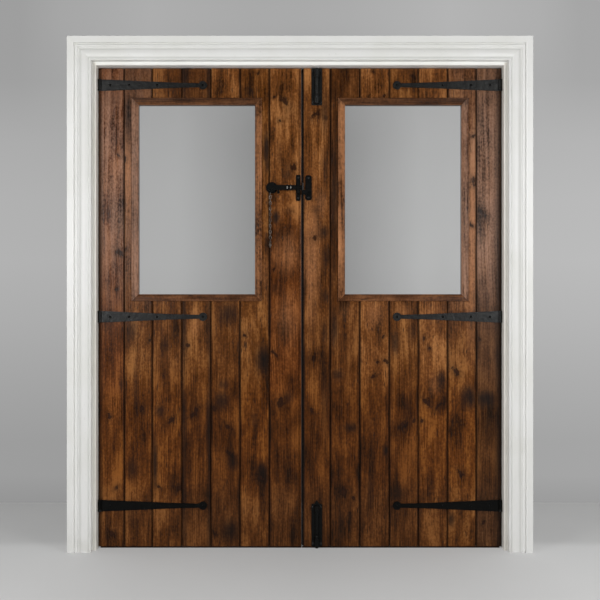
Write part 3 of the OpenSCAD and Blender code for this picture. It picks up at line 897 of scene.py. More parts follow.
KNOTS: dict[str, tuple[Knot, ...]] = {
    "left_plank_1": (
        Knot(-0.796, 0.550, 0.008), Knot(-0.765, 0.251, 0.008), Knot(-0.786, 0.058, 0.011),
        Knot(-0.757, 1.638, 0.007), Knot(-0.754, 1.232, 0.014), Knot(-0.767, 1.079, 0.006),
    ),
    "left_plank_2": (
        Knot(-0.660, 0.580, 0.012), Knot(-0.623, 0.869, 0.009), Knot(-0.730, 1.624, 0.008),
        Knot(-0.730, 1.245, 0.007),
    ),
    "left_plank_3": (Knot(-0.538, 0.533, 0.015), Knot(-0.589, 0.254, 0.008), Knot(-0.507, 0.248, 0.010)),
    "left_plank_4": (Knot(-0.439, 0.567, 0.016), Knot(-0.468, 0.846, 0.008)),
    "left_plank_5": (
        Knot(-0.358, 0.580, 0.009), Knot(-0.300, 0.506, 0.012), Knot(-0.293, 0.390, 0.012),
        Knot(-0.355, 0.058, 0.012),
    ),
    "left_plank_6": (Knot(-0.232, 0.886, 0.008), Knot(-0.175, 1.981, 0.006), Knot(-0.160, 0.292, 0.011)),
    "left_plank_7": (
        Knot(-0.107, 0.811, 0.010), Knot(-0.083, 0.604, 0.018), Knot(-0.065, 1.867, 0.015),
        Knot(-0.108, 1.881, 0.006), Knot(-0.085, 1.784, 0.006), Knot(-0.028, 1.591, 0.013),
        Knot(-0.108, 1.165, 0.006),
    ),
    "right_plank_1": (Knot(0.762, 1.398, 0.013), Knot(0.750, 0.872, 0.006), Knot(0.767, 0.108, 0.006)),
    "right_plank_2": (
        Knot(0.648, 0.740, 0.014), Knot(0.672, 0.312, 0.012), Knot(0.722, 1.718, 0.009),
        Knot(0.722, 1.528, 0.015), Knot(0.718, 1.345, 0.008),
    ),
    "right_plank_3": (
        Knot(0.519, 0.875, 0.007), Knot(0.539, 0.833, 0.006), Knot(0.529, 0.614, 0.016),
        Knot(0.583, 0.597, 0.015), Knot(0.509, 0.532, 0.007),
    ),
    "right_plank_4": (Knot(0.431, 0.515, 0.018), Knot(0.475, 0.532, 0.007), Knot(0.475, 1.967, 0.006)),
    "right_plank_5": (
        Knot(0.346, 0.882, 0.007), Knot(0.322, 0.777, 0.006), Knot(0.359, 0.780, 0.009),
        Knot(0.308, 0.716, 0.009), Knot(0.305, 1.989, 0.006), Knot(0.352, 1.887, 0.007),
    ),
    "right_plank_6": (Knot(0.179, 0.230, 0.016), Knot(0.223, 0.206, 0.007)),
    "right_plank_7": (
        Knot(0.057, 0.794, 0.014), Knot(0.050, 0.573, 0.009), Knot(0.069, 1.811, 0.015),
        Knot(0.062, 1.295, 0.010),
    ),
}

STAINS_AND_SHADOWS: dict[str, tuple[SoftPatch, ...]] = {
    "left_plank_1": (
        SoftPatch(-0.816, 0.926, 0.040, 0.045, 0.5), SoftPatch(-0.745, 0.682, 0.012, 0.040, 0.6),
        # The tall narrow patch at x = -0.846 along the hinge edge is a painted shadow cast by the frame.
        SoftPatch(-0.846, 1.000, 0.022, 2.000, 0.8), SoftPatch(-0.790, 1.870, 0.050, 0.040, 0.35),
    ),
    "left_plank_2": (
        SoftPatch(-0.704, 0.906, 0.030, 0.055, 0.6), SoftPatch(-0.687, 0.655, 0.014, 0.120, 0.5),
        SoftPatch(-0.701, 0.329, 0.035, 0.055, 0.6), SoftPatch(-0.708, 0.132, 0.040, 0.060, 0.4),
        SoftPatch(-0.720, 1.771, 0.016, 0.120, 0.6),
    ),
    "left_plank_3": (
        SoftPatch(-0.558, 0.852, 0.022, 0.045, 0.55), SoftPatch(-0.585, 0.573, 0.028, 0.030, 0.55),
        SoftPatch(-0.606, 0.356, 0.014, 0.120, 0.75),
    ),
    "left_plank_4": (SoftPatch(-0.481, 1.964, 0.022, 0.060, 0.6),),
    "left_plank_5": (
        SoftPatch(-0.300, 0.974, 0.045, 0.055, 0.75), SoftPatch(-0.321, 0.682, 0.030, 0.025, 0.6),
        SoftPatch(-0.327, 0.614, 0.035, 0.045, 0.75), SoftPatch(-0.280, 0.356, 0.030, 0.040, 0.7),
        SoftPatch(-0.287, 0.071, 0.045, 0.055, 0.8),
    ),
    "left_plank_6": (
        SoftPatch(-0.151, 0.784, 0.038, 0.070, 1.0), SoftPatch(-0.192, 0.540, 0.025, 0.045, 0.45),
        SoftPatch(-0.158, 0.316, 0.030, 0.045, 0.9), SoftPatch(-0.211, 1.904, 0.025, 0.030, 0.6),
        SoftPatch(-0.138, 1.664, 0.018, 0.075, 0.8), SoftPatch(-0.131, 1.598, 0.014, 0.040, 0.7),
        SoftPatch(-0.135, 1.272, 0.016, 0.040, 0.8),
    ),
    "left_plank_7": (
        SoftPatch(-0.049, 0.628, 0.028, 0.028, 0.55), SoftPatch(-0.069, 0.288, 0.045, 0.150, 0.35),
        SoftPatch(-0.051, 1.558, 0.025, 0.030, 0.6), SoftPatch(-0.085, 1.638, 0.014, 0.060, 0.45),
        SoftPatch(-0.101, 1.378, 0.016, 0.030, 0.95), SoftPatch(-0.045, 1.405, 0.030, 0.022, 0.5),
        SoftPatch(-0.095, 1.298, 0.014, 0.050, 0.6), SoftPatch(-0.105, 1.085, 0.028, 0.035, 0.6),
        SoftPatch(-0.050, 1.810, 0.050, 0.060, 0.35),
    ),
    "right_plank_1": (
        SoftPatch(0.780, 0.621, 0.055, 0.038, 0.85), SoftPatch(0.752, 1.105, 0.020, 0.040, 0.4),
        # The tall narrow patch at x = 0.846 along the hinge edge is a painted shadow cast by the frame.
        SoftPatch(0.846, 1.000, 0.034, 2.000, 0.85), SoftPatch(0.785, 1.870, 0.040, 0.040, 0.35),
    ),
    "right_plank_2": (SoftPatch(0.706, 0.628, 0.038, 0.055, 0.9), SoftPatch(0.631, 0.118, 0.018, 0.035, 0.75)),
    "right_plank_3": (SoftPatch(0.590, 0.702, 0.026, 0.040, 0.7),),
    "right_plank_4": (
        SoftPatch(0.397, 0.858, 0.020, 0.055, 0.65), SoftPatch(0.468, 0.899, 0.022, 0.055, 0.5),
        SoftPatch(0.447, 0.594, 0.012, 0.050, 0.5), SoftPatch(0.407, 0.227, 0.035, 0.035, 0.7),
    ),
    "right_plank_5": (SoftPatch(0.359, 0.407, 0.016, 0.028, 0.8), SoftPatch(0.291, 0.254, 0.018, 0.080, 0.5)),
    "right_plank_6": (
        SoftPatch(0.142, 0.920, 0.022, 0.090, 0.7), SoftPatch(0.155, 0.723, 0.030, 0.028, 0.7),
        SoftPatch(0.213, 0.502, 0.040, 0.022, 0.75), SoftPatch(0.172, 0.091, 0.016, 0.070, 0.6),
        SoftPatch(0.142, 1.438, 0.025, 0.380, 0.6),
    ),
    "right_plank_7": (
        SoftPatch(0.104, 0.627, 0.022, 0.260, 0.5), SoftPatch(0.101, 0.899, 0.020, 0.060, 0.5),
        SoftPatch(0.106, 1.797, 0.020, 0.025, 0.75), SoftPatch(0.106, 1.604, 0.020, 0.110, 0.55),
        SoftPatch(0.066, 1.411, 0.022, 0.020, 0.55), SoftPatch(0.099, 1.318, 0.024, 0.035, 0.75),
        SoftPatch(0.106, 1.218, 0.020, 0.060, 0.6), SoftPatch(0.106, 1.052, 0.022, 0.035, 0.65),
        SoftPatch(0.104, 1.830, 0.022, 0.150, 0.6),
    ),
}

WORN_PATCHES: dict[str, tuple[SoftPatch, ...]] = {
    "left_plank_1": (SoftPatch(-0.785, 1.540, 0.050, 0.130, 0.40),),
    "left_plank_2": (SoftPatch(-0.722, 1.530, 0.030, 0.170, 0.95), SoftPatch(-0.722, 1.140, 0.030, 0.060, 0.40)),
    "left_plank_4": (SoftPatch(-0.430, 0.940, 0.050, 0.070, 0.40),),
    "left_plank_6": (SoftPatch(-0.150, 1.150, 0.030, 0.100, 0.45),),
    "left_plank_7": (SoftPatch(-0.055, 1.230, 0.060, 0.090, 0.60), SoftPatch(-0.055, 0.960, 0.060, 0.110, 0.50)),
    "right_plank_1": (SoftPatch(0.785, 1.560, 0.050, 0.120, 0.40),),
    "right_plank_2": (SoftPatch(0.722, 1.250, 0.030, 0.360, 1.00), SoftPatch(0.722, 1.190, 0.030, 0.110, 1.30)),
    "right_plank_3": (SoftPatch(0.560, 0.980, 0.050, 0.050, 0.35), SoftPatch(0.560, 0.680, 0.030, 0.050, 0.40)),
    "right_plank_4": (SoftPatch(0.430, 0.990, 0.050, 0.045, 0.40),),
    "right_plank_5": (SoftPatch(0.310, 0.970, 0.050, 0.070, 0.50),),
    "right_plank_6": (SoftPatch(0.190, 0.990, 0.050, 0.045, 0.35),),
    "right_plank_7": (SoftPatch(0.048, 1.210, 0.036, 0.260, 0.80), SoftPatch(0.090, 1.440, 0.030, 0.070, 0.55)),
}


def dress(node: str, material: bpy.types.Material) -> None:
    """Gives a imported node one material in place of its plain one.

    Args:
        node: Name of the node.
        material: The material.
    """
    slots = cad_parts[node].data.materials
    slots.clear()
    slots.append(material)
    log.info("%s wears %s", node, material.name)


def grid_mesh(name: str, points: np.ndarray, wrapped: bool) -> bpy.types.Object:
    """Makes one mesh of equal grids of points.

    Each grid is a surface of two parameters: neighbours in both directions make a four-sided face, and
    a wrapped grid closes from its last column to its first. Points that meet, as at a pole, are merged.
    The faces of a wrapped grid are then turned outwards; the order of its points turns those of an open one.

    Args:
        name: Name of the piece.
        points: Places in the frame, shaped (grids, rows, columns, 3).
        wrapped: Whether the columns close into a ring.

    Returns:
        The new object, at the origin.
    """
    grids, rows, columns = points.shape[:3]
    index = np.arange(grids * rows * columns).reshape(grids, rows, columns)
    following = np.roll(index, -1, axis=2) if wrapped else index[:, :, 1:]
    current = index if wrapped else index[:, :, :-1]
    quads = np.stack([current[:, :-1], following[:, :-1], following[:, 1:], current[:, 1:]], axis=-1)
    mesh = bpy.data.meshes.new(name)
    mesh.from_pydata(points.reshape(-1, 3), [], quads.reshape(-1, 4))
    work = bmesh.new()
    work.from_mesh(mesh)
    bmesh.ops.remove_doubles(work, verts=work.verts, dist=MERGE_DIST)
    if wrapped:
        bmesh.ops.recalc_face_normals(work, faces=work.faces)
    work.to_mesh(mesh)
    work.free()
    mesh.polygons.foreach_set("use_smooth", np.ones(len(mesh.polygons), dtype=bool))
    piece = bpy.data.objects.new(name, mesh)
    bpy.context.scene.collection.objects.link(piece)
    return piece


def box_grids(low: np.ndarray, high: np.ndarray) -> np.ndarray:
    """Points of upright boxes for a wrapped mesh.

    Each box is a rectangle of four corners carried up from its low end to its high end, and drawn together
    to the middle at both ends.

    Args:
        low: Low corner of each box, shaped (boxes, 3).
        high: High corner of each box, shaped (boxes, 3).

    Returns:
        The points, shaped (boxes, 4, 4, 3).
    """
    corner = np.array([[-0.5, -0.5], [0.5, -0.5], [0.5, 0.5], [-0.5, 0.5]])
    spread = np.array([0.0, 1.0, 1.0, 0.0])[:, None, None]
    middle, size = (low + high)[:, None, None, :2] / 2, (high - low)[:, None, None, :2]
    flat = middle + corner * spread * size
    upward = np.stack([low[:, 2], low[:, 2], high[:, 2], high[:, 2]], axis=1)[:, :, None, None]
    return np.concatenate([flat, np.broadcast_to(upward, flat.shape[:3] + (1,))], axis=-1)


@dataclass
class DoorFrame:
    """The painted lining, stops and architrave; its paints are a clean and a yellowed colour each.

    Attributes:
        boards: Kinds of flat boards that stand at the two sides and lie over the head.
        lines: Fine sunk lines of the moulding, from its inner edge, with their half widths, darkened as
            painted shade.
        lightened_quirks: Quirks of the upright mouldings whose paint is lightened as painted light, given
            alike.
    """

    boards: tuple[str, ...] = ("jamb", "stop")
    lines: tuple[tuple[float, float], ...] = ((0.011, 0.005), (0.046, 0.007))
    lightened_quirks: tuple[tuple[float, float], ...] = ((0.0655, 0.009),)

    SIDE_PAINT = tint(236, 233, 226), tint(228, 224, 215)
    HEAD_PAINT = tint(240, 240, 237), tint(232, 231, 226)

    def build(self) -> None:
        """Paints the boards and blackens the hinge hooks."""
        upright = WhitePaint("white_paint_upright", Grain.UPRIGHT, *self.SIDE_PAINT).material()
        level = WhitePaint("white_paint_level", Grain.LEVEL, *self.HEAD_PAINT).material()
        iron = BlackIron("black_iron_hooks").material()
        for board in self.boards:
            for side in Side:
                dress(f"{side}_{board}", upright)
            dress(f"head_{board}", level)
        for side in Side:
            inner = min(abs(corner.x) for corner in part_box(f"{side}_architrave"))
            paint = WhitePaint(
                f"white_paint_{side}", Grain.UPRIGHT, inner=inner, lines=self.lines, lightened=self.lightened_quirks
            )
            dress(f"{side}_architrave", paint.material())
            dress(f"{side}_pintles", iron)
        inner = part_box("head_architrave")[0].z
        paint = WhitePaint("white_paint_head", Grain.LEVEL, inner=inner, lines=self.lines)
        dress("head_architrave", paint.material())


@dataclass
class Screws:
    """Slotted round-headed screws that share one mesh.

    Attributes:
        name: Name of the piece.
        body: Body that carries them.
        front: Whether they face the front of the doors.
        radius: Radius of a head.
        height: Height of a head.
        slot_w: Half width of the slot.
        slot_d: Depth of the slot.
        sunk: Depth of the rim under the surface.
        turn: Angle by which each slot is turned from the one before it.
    """

    name: str
    body: str
    front: bool = True
    radius: float = 0.0042
    height: float = 0.0016
    slot_w: float = 0.0007
    slot_d: float = 0.0011
    sunk: float = 0.0003
    turn: float = 2.4

    SPOKES = 24
    RIM_SHARES = (0.0, 0.2, 0.4, 0.6, 0.8, 0.93, 1.0, 1.0, 0.0)
    RISE_SHARES = (1.0, 0.97, 0.87, 0.70, 0.44, 0.20, 0.0)

    def build(self, places: np.ndarray, iron: bpy.types.Material) -> None:
        """Makes the heads: a domed profile turned about each screw's axis, less a slot across the dome.

        Args:
            places: Middle of each head on the surface, shaped (screws, 3).
            iron: Material of the heads.
        """
        spoke = np.linspace(0.0, math.tau, self.SPOKES, endpoint=False)
        rim = np.array(self.RIM_SHARES)[:, None] * self.radius
        rise = np.array(self.RISE_SHARES + (-self.sunk / self.height,) * 2)[:, None] * self.height
        lean = np.arange(len(places))[:, None, None] * self.turn
        slot = np.exp(-((rim * np.sin(spoke - lean) / self.slot_w) ** 4))
        top = (rise > 0) * slot * self.slot_d
        out = np.broadcast_to(rise, slot.shape) - np.minimum(top, np.maximum(rise, 0.0))
        facing = -1.0 if self.front else 1.0
        across = np.broadcast_to(rim * np.cos(spoke), slot.shape)
        upward = np.broadcast_to(rim * np.sin(spoke), slot.shape)
        points = np.stack([across, facing * out, upward], axis=-1) + places[:, None, None, :]
        piece = grid_mesh(self.name, points, wrapped=True)
        piece.data.materials.append(iron)
        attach(piece, self.body)
        log.info("%s: %d heads", self.name, len(places))


@dataclass
class Leaf:
    """One leaf: planks, ledges, brace, straps, window and the screws at the back.

    GRIME and BEAD_TOP_SHADE are a half width, a half height and a strength of painted shade; WAX is a covered
    and a rubbed colour, darker than the other iron as painted shade on the bottom straps.

    Attributes:
        side: Which leaf.
        screw_spread: Height of a ledge's screws above and below its middle.
        wide_edge: Width of the darkened margins of one plank.
        tongue: Width of a plank's tongue, hidden in its neighbour and painted black as shade where it shows
            in the joint.
        lip: Width of the closing lip of the right leaf, and so of the strip beside its face that is painted
            black as shade in the meeting joint.
        fillet_t: Thickness of the fillet that narrows the joint between the leaves.
        fillet_y: Low and high Y of that fillet.
        fillet_inset: Distance of its ends from the ends of the plank.
        lug_t: Thickness of its lug in the notch behind the latch bar.
        lug_z: Low and high Z of that lug.
        batten_y: Low and high Y of the batten under the leaf.
        batten_z: Height of the batten above the floor.
        batten_sunk: Depth that it is let into the planks.
        batten_inset: Distance of its ends from the hinge edge and the meeting edge of the leaf.
        top_shade_inset: Distance from the top of a ring of beads of the painted shade that darkens its top
            length.
        painted_sheen: Strength of the painted sheen of the side lights on each plank, from the hinge edge;
            the others have none.
    """

    side: Side
    screw_spread: float = 0.024
    wide_edge: float = 0.030
    tongue: float = 0.0075
    lip: float = 0.007
    fillet_t: float = 0.0006
    fillet_y: tuple[float, float] = (0.023, 0.026)
    fillet_inset: float = 0.005
    lug_t: float = 0.005
    lug_z: tuple[float, float] = (1.4945, 1.5255)
    batten_y: tuple[float, float] = (0.005, 0.009)
    batten_z: float = 0.0007
    batten_sunk: float = 0.0005
    batten_inset: tuple[float, float] = (0.007, 0.0005)
    top_shade_inset: float = 0.012
    painted_sheen: tuple[float, ...] = (0.8, 0.5)

    DARK_EDGED_PLANK = "left_plank_4"
    LEDGE_SEED, BRACE_SEED, BEAD_SEED, STRIP_SEED = 20.0, 31.0, 40.0, 50.0
    BEAD_TOP_SHADE = (0.6, 0.020, 0.5)
    BEAD_PAINTED_SHEEN = 0.65
    BEAD_SHEEN = 0.15
    # These two place one patch over a whole strip, which paints it black as shade.
    GRIME_Z = 1.0
    GRIME = (3.0, 9.0, 1.0)
    # Darker colours and weaker gloss than the other iron: painted shade for the bottom straps.
    WAX = tint(4, 4, 3), tint(9, 10, 8)
    WAX_GLOSS = 0.1

    def planks(self) -> list[str]:
        """Names of the planks, from the hinge edge."""
        return [f"{self.side}_plank_{number + 1}" for number in range(PLANK_COUNT)]

    def stain_planks(self) -> None:
        """Gives each plank its own pine, with its own tone, knots and dark patches; the tall patch along each
        hinge edge is painted shadow.
        """
        for number, plank in enumerate(self.planks()):
            low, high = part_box(plank)
            if self.side is Side.LEFT:
                face = low.x, high.x - (self.tongue if number < PLANK_COUNT - 1 else 0.0)
            else:
                face = low.x + (self.tongue if number < PLANK_COUNT - 1 else self.lip), high.x
            pine = StainedPine(
                name=f"stained_pine_{plank}",
                tones=PLANK_TONES[self.side][number],
                grain=Grain.UPRIGHT,
                seed=number + 1 + PLANK_COUNT * list(Side).index(self.side),
                knots=KNOTS.get(plank, ()),
                soft_patches=STAINS_AND_SHADOWS.get(plank, ()),
                worn=WORN_PATCHES.get(plank, ()),
                edges=face,
                edge_w=self.wide_edge if plank == self.DARK_EDGED_PLANK else StainedPine.edge_w,
                painted_sheen=self.painted_sheen[number] if number < len(self.painted_sheen) else 0.0,
            )
            dress(plank, pine.material())

    def line(self, name: str, low: np.ndarray, high: np.ndarray) -> None:
        """Puts strips of pine in a joint of the leaf, painted black all over as shade.

        Args:
            name: Name of the piece.
            low: Low corner of each strip, shaped (strips, 3).
            high: High corner of each strip, shaped (strips, 3).
        """
        piece = grid_mesh(name, box_grids(low, high), wrapped=True)
        # One patch over the whole strip paints it black as shade.
        shade_cover = SoftPatch(float(low[0, 0]), self.GRIME_Z, *self.GRIME)
        pine = StainedPine(
            f"stained_pine_{name}", (Tone.DARK,), Grain.UPRIGHT, self.STRIP_SEED, soft_patches=(shade_cover,)
        )
        piece.data.materials.append(pine.material())
        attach(piece, f"{self.side}_leaf")
        log.info("%s: %d strips", name, len(low))

    def line_joints(self) -> None:
        """Hangs a batten under the leaf and lines the left leaf's meeting edge with a fillet and its lug,
        painted black as shade.
        """
        boxes = [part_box(plank) for plank in self.planks()]
        left, right = min(low.x for low, _ in boxes), max(high.x for _, high in boxes)
        foot, top = boxes[0][0].z, boxes[0][1].z
        front, back = self.batten_y
        start, end = self.batten_inset if self.side is Side.LEFT else reversed(self.batten_inset)
        low = np.array([[left + start, front, self.batten_z]])
        high = np.array([[right - end, back, foot + self.batten_sunk]])
        self.line(f"{self.side}_bottom_batten", low, high)
        if self.side is Side.LEFT:
            (front, back), (lug_low, lug_high) = self.fillet_y, self.lug_z
            low = np.array([[right, front, foot + self.fillet_inset], [right, front, lug_low]])
            high = np.array([
                [right + self.fillet_t, back, top - self.fillet_inset], [right + self.lug_t, back, lug_high]
            ])
            self.line("meeting_shade_fillet", low, high)

    def stain_back(self) -> None:
        """Stains the ledges and the brace, with the grain along each."""
        for number, level in enumerate(Level):
            ledge = f"{self.side}_{level}_ledge"
            seed = self.LEDGE_SEED + number + len(self.side)
            dress(ledge, StainedPine(f"stained_pine_{ledge}", (Tone.BROWN,), Grain.LEVEL, seed).material())
        brace = f"{self.side}_brace"
        low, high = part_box(brace)
        slope = (high.z - low.z) / (high.x - low.x) * (1 if self.side is Side.LEFT else -1)
        pine = StainedPine(
            f"stained_pine_{brace}", (Tone.BROWN,), Grain.SLANT, self.BRACE_SEED, slant=slope
        )
        dress(brace, pine.material())

    def glaze(self) -> None:
        """Dresses the beads with the grain along each length, and the pane."""
        for number, face in enumerate(("front", "back")):
            bead = f"{self.side}_{face}_bead"
            low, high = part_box(bead)
            # Painted shade darkens the top length of each ring of beads.
            top = SoftPatch((low.x + high.x) / 2, high.z - self.top_shade_inset, *self.BEAD_TOP_SHADE)
            pine = StainedPine(
                name=f"bead_pine_{bead}",
                tones=(Tone.BEAD,),
                grain=Grain.RING,
                seed=self.BEAD_SEED + number + len(self.side),
                soft_patches=(top,),
                painted_sheen=self.BEAD_PAINTED_SHEEN,
                sheen=self.BEAD_SHEEN,
                ring=(low.x, low.z, high.x, high.z),
            )
            dress(bead, pine.material())
        dress(f"{self.side}_glass", WindowGlass(f"clear_glass_{self.side}").material())

    def hang(self, iron: bpy.types.Material) -> None:
        """Blackens the straps and their nails; the bottom straps and the nails wear a darker, duller copy of
        the iron, painted shade for the low straps.

        Args:
            iron: Material of the straps.
        """
        black, rubbed = self.WAX
        # A darker, duller copy of the iron: painted shade on the bottom straps, worn by the nails too.
        waxed = BlackIron(f"black_iron_{self.side}_low", black=black, rubbed=rubbed, gloss=self.WAX_GLOSS)
        fresh = waxed.material()
        for level in Level:
            dress(f"{self.side}_{level}_strap", fresh if level is Level.BOTTOM else iron)
        dress(f"{self.side}_strap_nails", fresh)

    def screw_ledges(self, iron: bpy.types.Material) -> None:
        """Puts two screws through each ledge into each plank, seen from the back.

        Args:
            iron: Material of the screws.
        """
        middles = np.array([sum(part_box(plank), Vector()).x / 2 for plank in self.planks()])
        rows = []
        for level in Level:
            low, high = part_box(f"{self.side}_{level}_ledge")
            heights = (low.z + high.z) / 2 + np.array([-self.screw_spread, self.screw_spread])
            x, z = np.meshgrid(middles, heights)
            rows.append(np.stack([x, np.full_like(x, high.y), z], axis=-1).reshape(-1, 3))
        screws = Screws(f"{self.side}_ledge_screws", f"{self.side}_leaf", front=False)
        screws.build(np.concatenate(rows), iron)

    def build(self, iron: bpy.types.Material) -> None:
        """Dresses the whole leaf.

        Args:
            iron: Material of its irons.
        """
        self.stain_planks()
        self.line_joints()
        self.stain_back()
        self.glaze()
        self.hang(iron)
        self.screw_ledges(iron)


@dataclass
class Furniture:
    """The latch, its chain and the two bolts; WAX, WORN and BARE are a covered and a rubbed colour each.

    Attributes:
        plate_t: Thickness of the iron plates.
        screw_inset: Distance of the screws from the sides of a bolt plate.
        end_inset: Distance of the screws from the ends of a plate.
        point_h: Height of the pointed top of the bottom bolt's plate.
        keep_w: Width of the keep's plate.
        staple_screw_r: Radius of the screw heads of the staple.
    """

    plate_t: float = 0.004
    screw_inset: float = 0.006
    end_inset: float = 0.012
    point_h: float = 0.015
    keep_w: float = 0.027
    staple_screw_r: float = 0.0036

    FRESH = ("latch_rose", "latch_pin", "latch_staple", "latch_keep", "bottom_bolt_plate", "bottom_bolt_rod")
    RUBBED = ("top_bolt_plate", "top_bolt_rod")
    CHAIN = ("pull_chain", "chain_drop")
    RINGS_X = (-0.053, -0.0387)
    RINGS_Z = 1.503
    WAX = tint(4, 4, 3), tint(11, 12, 10)
    WAX_GLOSS = 0.15
    WORN = tint(16, 16, 16), tint(52, 52, 51)
    BARE = tint(66, 57, 51), tint(150, 138, 128)
    BARE_METAL = 0.35
    WORN_DENT, BARE_DENT = 0.006, 0.004

    def corners(self, node: str, top_drop: float) -> np.ndarray:
        """Places of the four screws of a bolt plate.

        Args:
            node: Name of the plate's node.
            top_drop: Height at the plate's top that the screws stay below.

        Returns:
            The places, shaped (4, 3).
        """
        low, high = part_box(node)
        across = np.array([low.x + self.screw_inset, high.x - self.screw_inset])
        upward = np.array([low.z + self.end_inset, high.z - top_drop - self.end_inset])
        x, z = np.meshgrid(across, upward)
        return np.stack([x, np.full_like(x, high.y - self.plate_t), z], axis=-1).reshape(-1, 3)

    def ends(self, node: str, middle: float) -> np.ndarray:
        """Places of the two screws of a narrow plate.

        Args:
            node: Name of the plate's node.
            middle: X of the middle of the plate.

        Returns:
            The places, shaped (2, 3).
        """
        low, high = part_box(node)
        front = high.y - self.plate_t
        return np.array([[middle, front, low.z + self.end_inset], [middle, front, high.z - self.end_inset]])

    def build(self, iron: bpy.types.Material) -> None:
        """Blackens the irons and screws their plates to the leaves.

        Args:
            iron: Material of the irons.
        """
        black, rubbed = self.WAX
        waxed = BlackIron("black_iron_fresh", black=black, rubbed=rubbed, gloss=self.WAX_GLOSS)
        fresh = waxed.material()
        # The rings on the latch bar get painted glints.
        bar = replace(waxed, name="black_iron_bar", glint_x=self.RINGS_X, level=self.RINGS_Z)
        worn = BlackIron("black_iron_worn", self.WORN_DENT, *self.WORN).material()
        steel = BlackIron("black_iron_chain", self.BARE_DENT, *self.BARE, metal=self.BARE_METAL).material()
        for nodes, finish in ((self.FRESH, fresh), (self.RUBBED, iron), (self.CHAIN, steel)):
            for node in nodes:
                dress(node, finish)
        dress("latch_bar", bar.material())
        middle = sum(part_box("latch_staple"), Vector()).x / 2
        screws = Screws("staple_screws", "left_leaf", radius=self.staple_screw_r)
        screws.build(self.ends("latch_staple", middle), worn)
        places = np.concatenate([
            self.ends("latch_keep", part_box("latch_keep")[1].x - self.keep_w / 2),
            self.corners("top_bolt_plate", 0.0),
            self.corners("bottom_bolt_plate", self.point_h),
        ])
        Screws("bolt_screws", "right_leaf").build(places, worn)


@dataclass(frozen=True)
class Room:
    """The even light of the studio, dim on the side of the camera and brighter behind the doors.

    Attributes:
        name: Name of the world.
    """

    name: str

    BACKGROUND = tint(172, 172, 170)
    DIM_Y = (-0.75, -0.25)
    MIRRORED_Y = (0.0, 0.2)

    def world(self, front: float, back: float) -> bpy.types.World:
        """Builds the world, which lights by direction and shows one plain grey to the camera.

        Args:
            front: Brightness on the side of the camera.
            back: Brightness behind the doors.

        Returns:
            The world.
        """
        world = bpy.data.worlds.new(self.name)
        world.use_nodes = True
        sheet = Shader(self.name, world.node_tree)
        light = front + sheet.y.rise(*self.DIM_Y) * (back - front)
        seen = sheet.node("ShaderNodeLightPath", out="Is Camera Ray")
        seen = seen.most(sheet.background() * sheet.y.rise(*self.MIRRORED_Y))
        color = sheet.mix(seen, sheet.mix(light, BLACK, WHITE), self.BACKGROUND)
        glow = sheet.node("ShaderNodeBackground", sockets={"Color": color, "Strength": 1.0})
        sheet.feed(sheet.outlet, "Surface", glow)
        return world


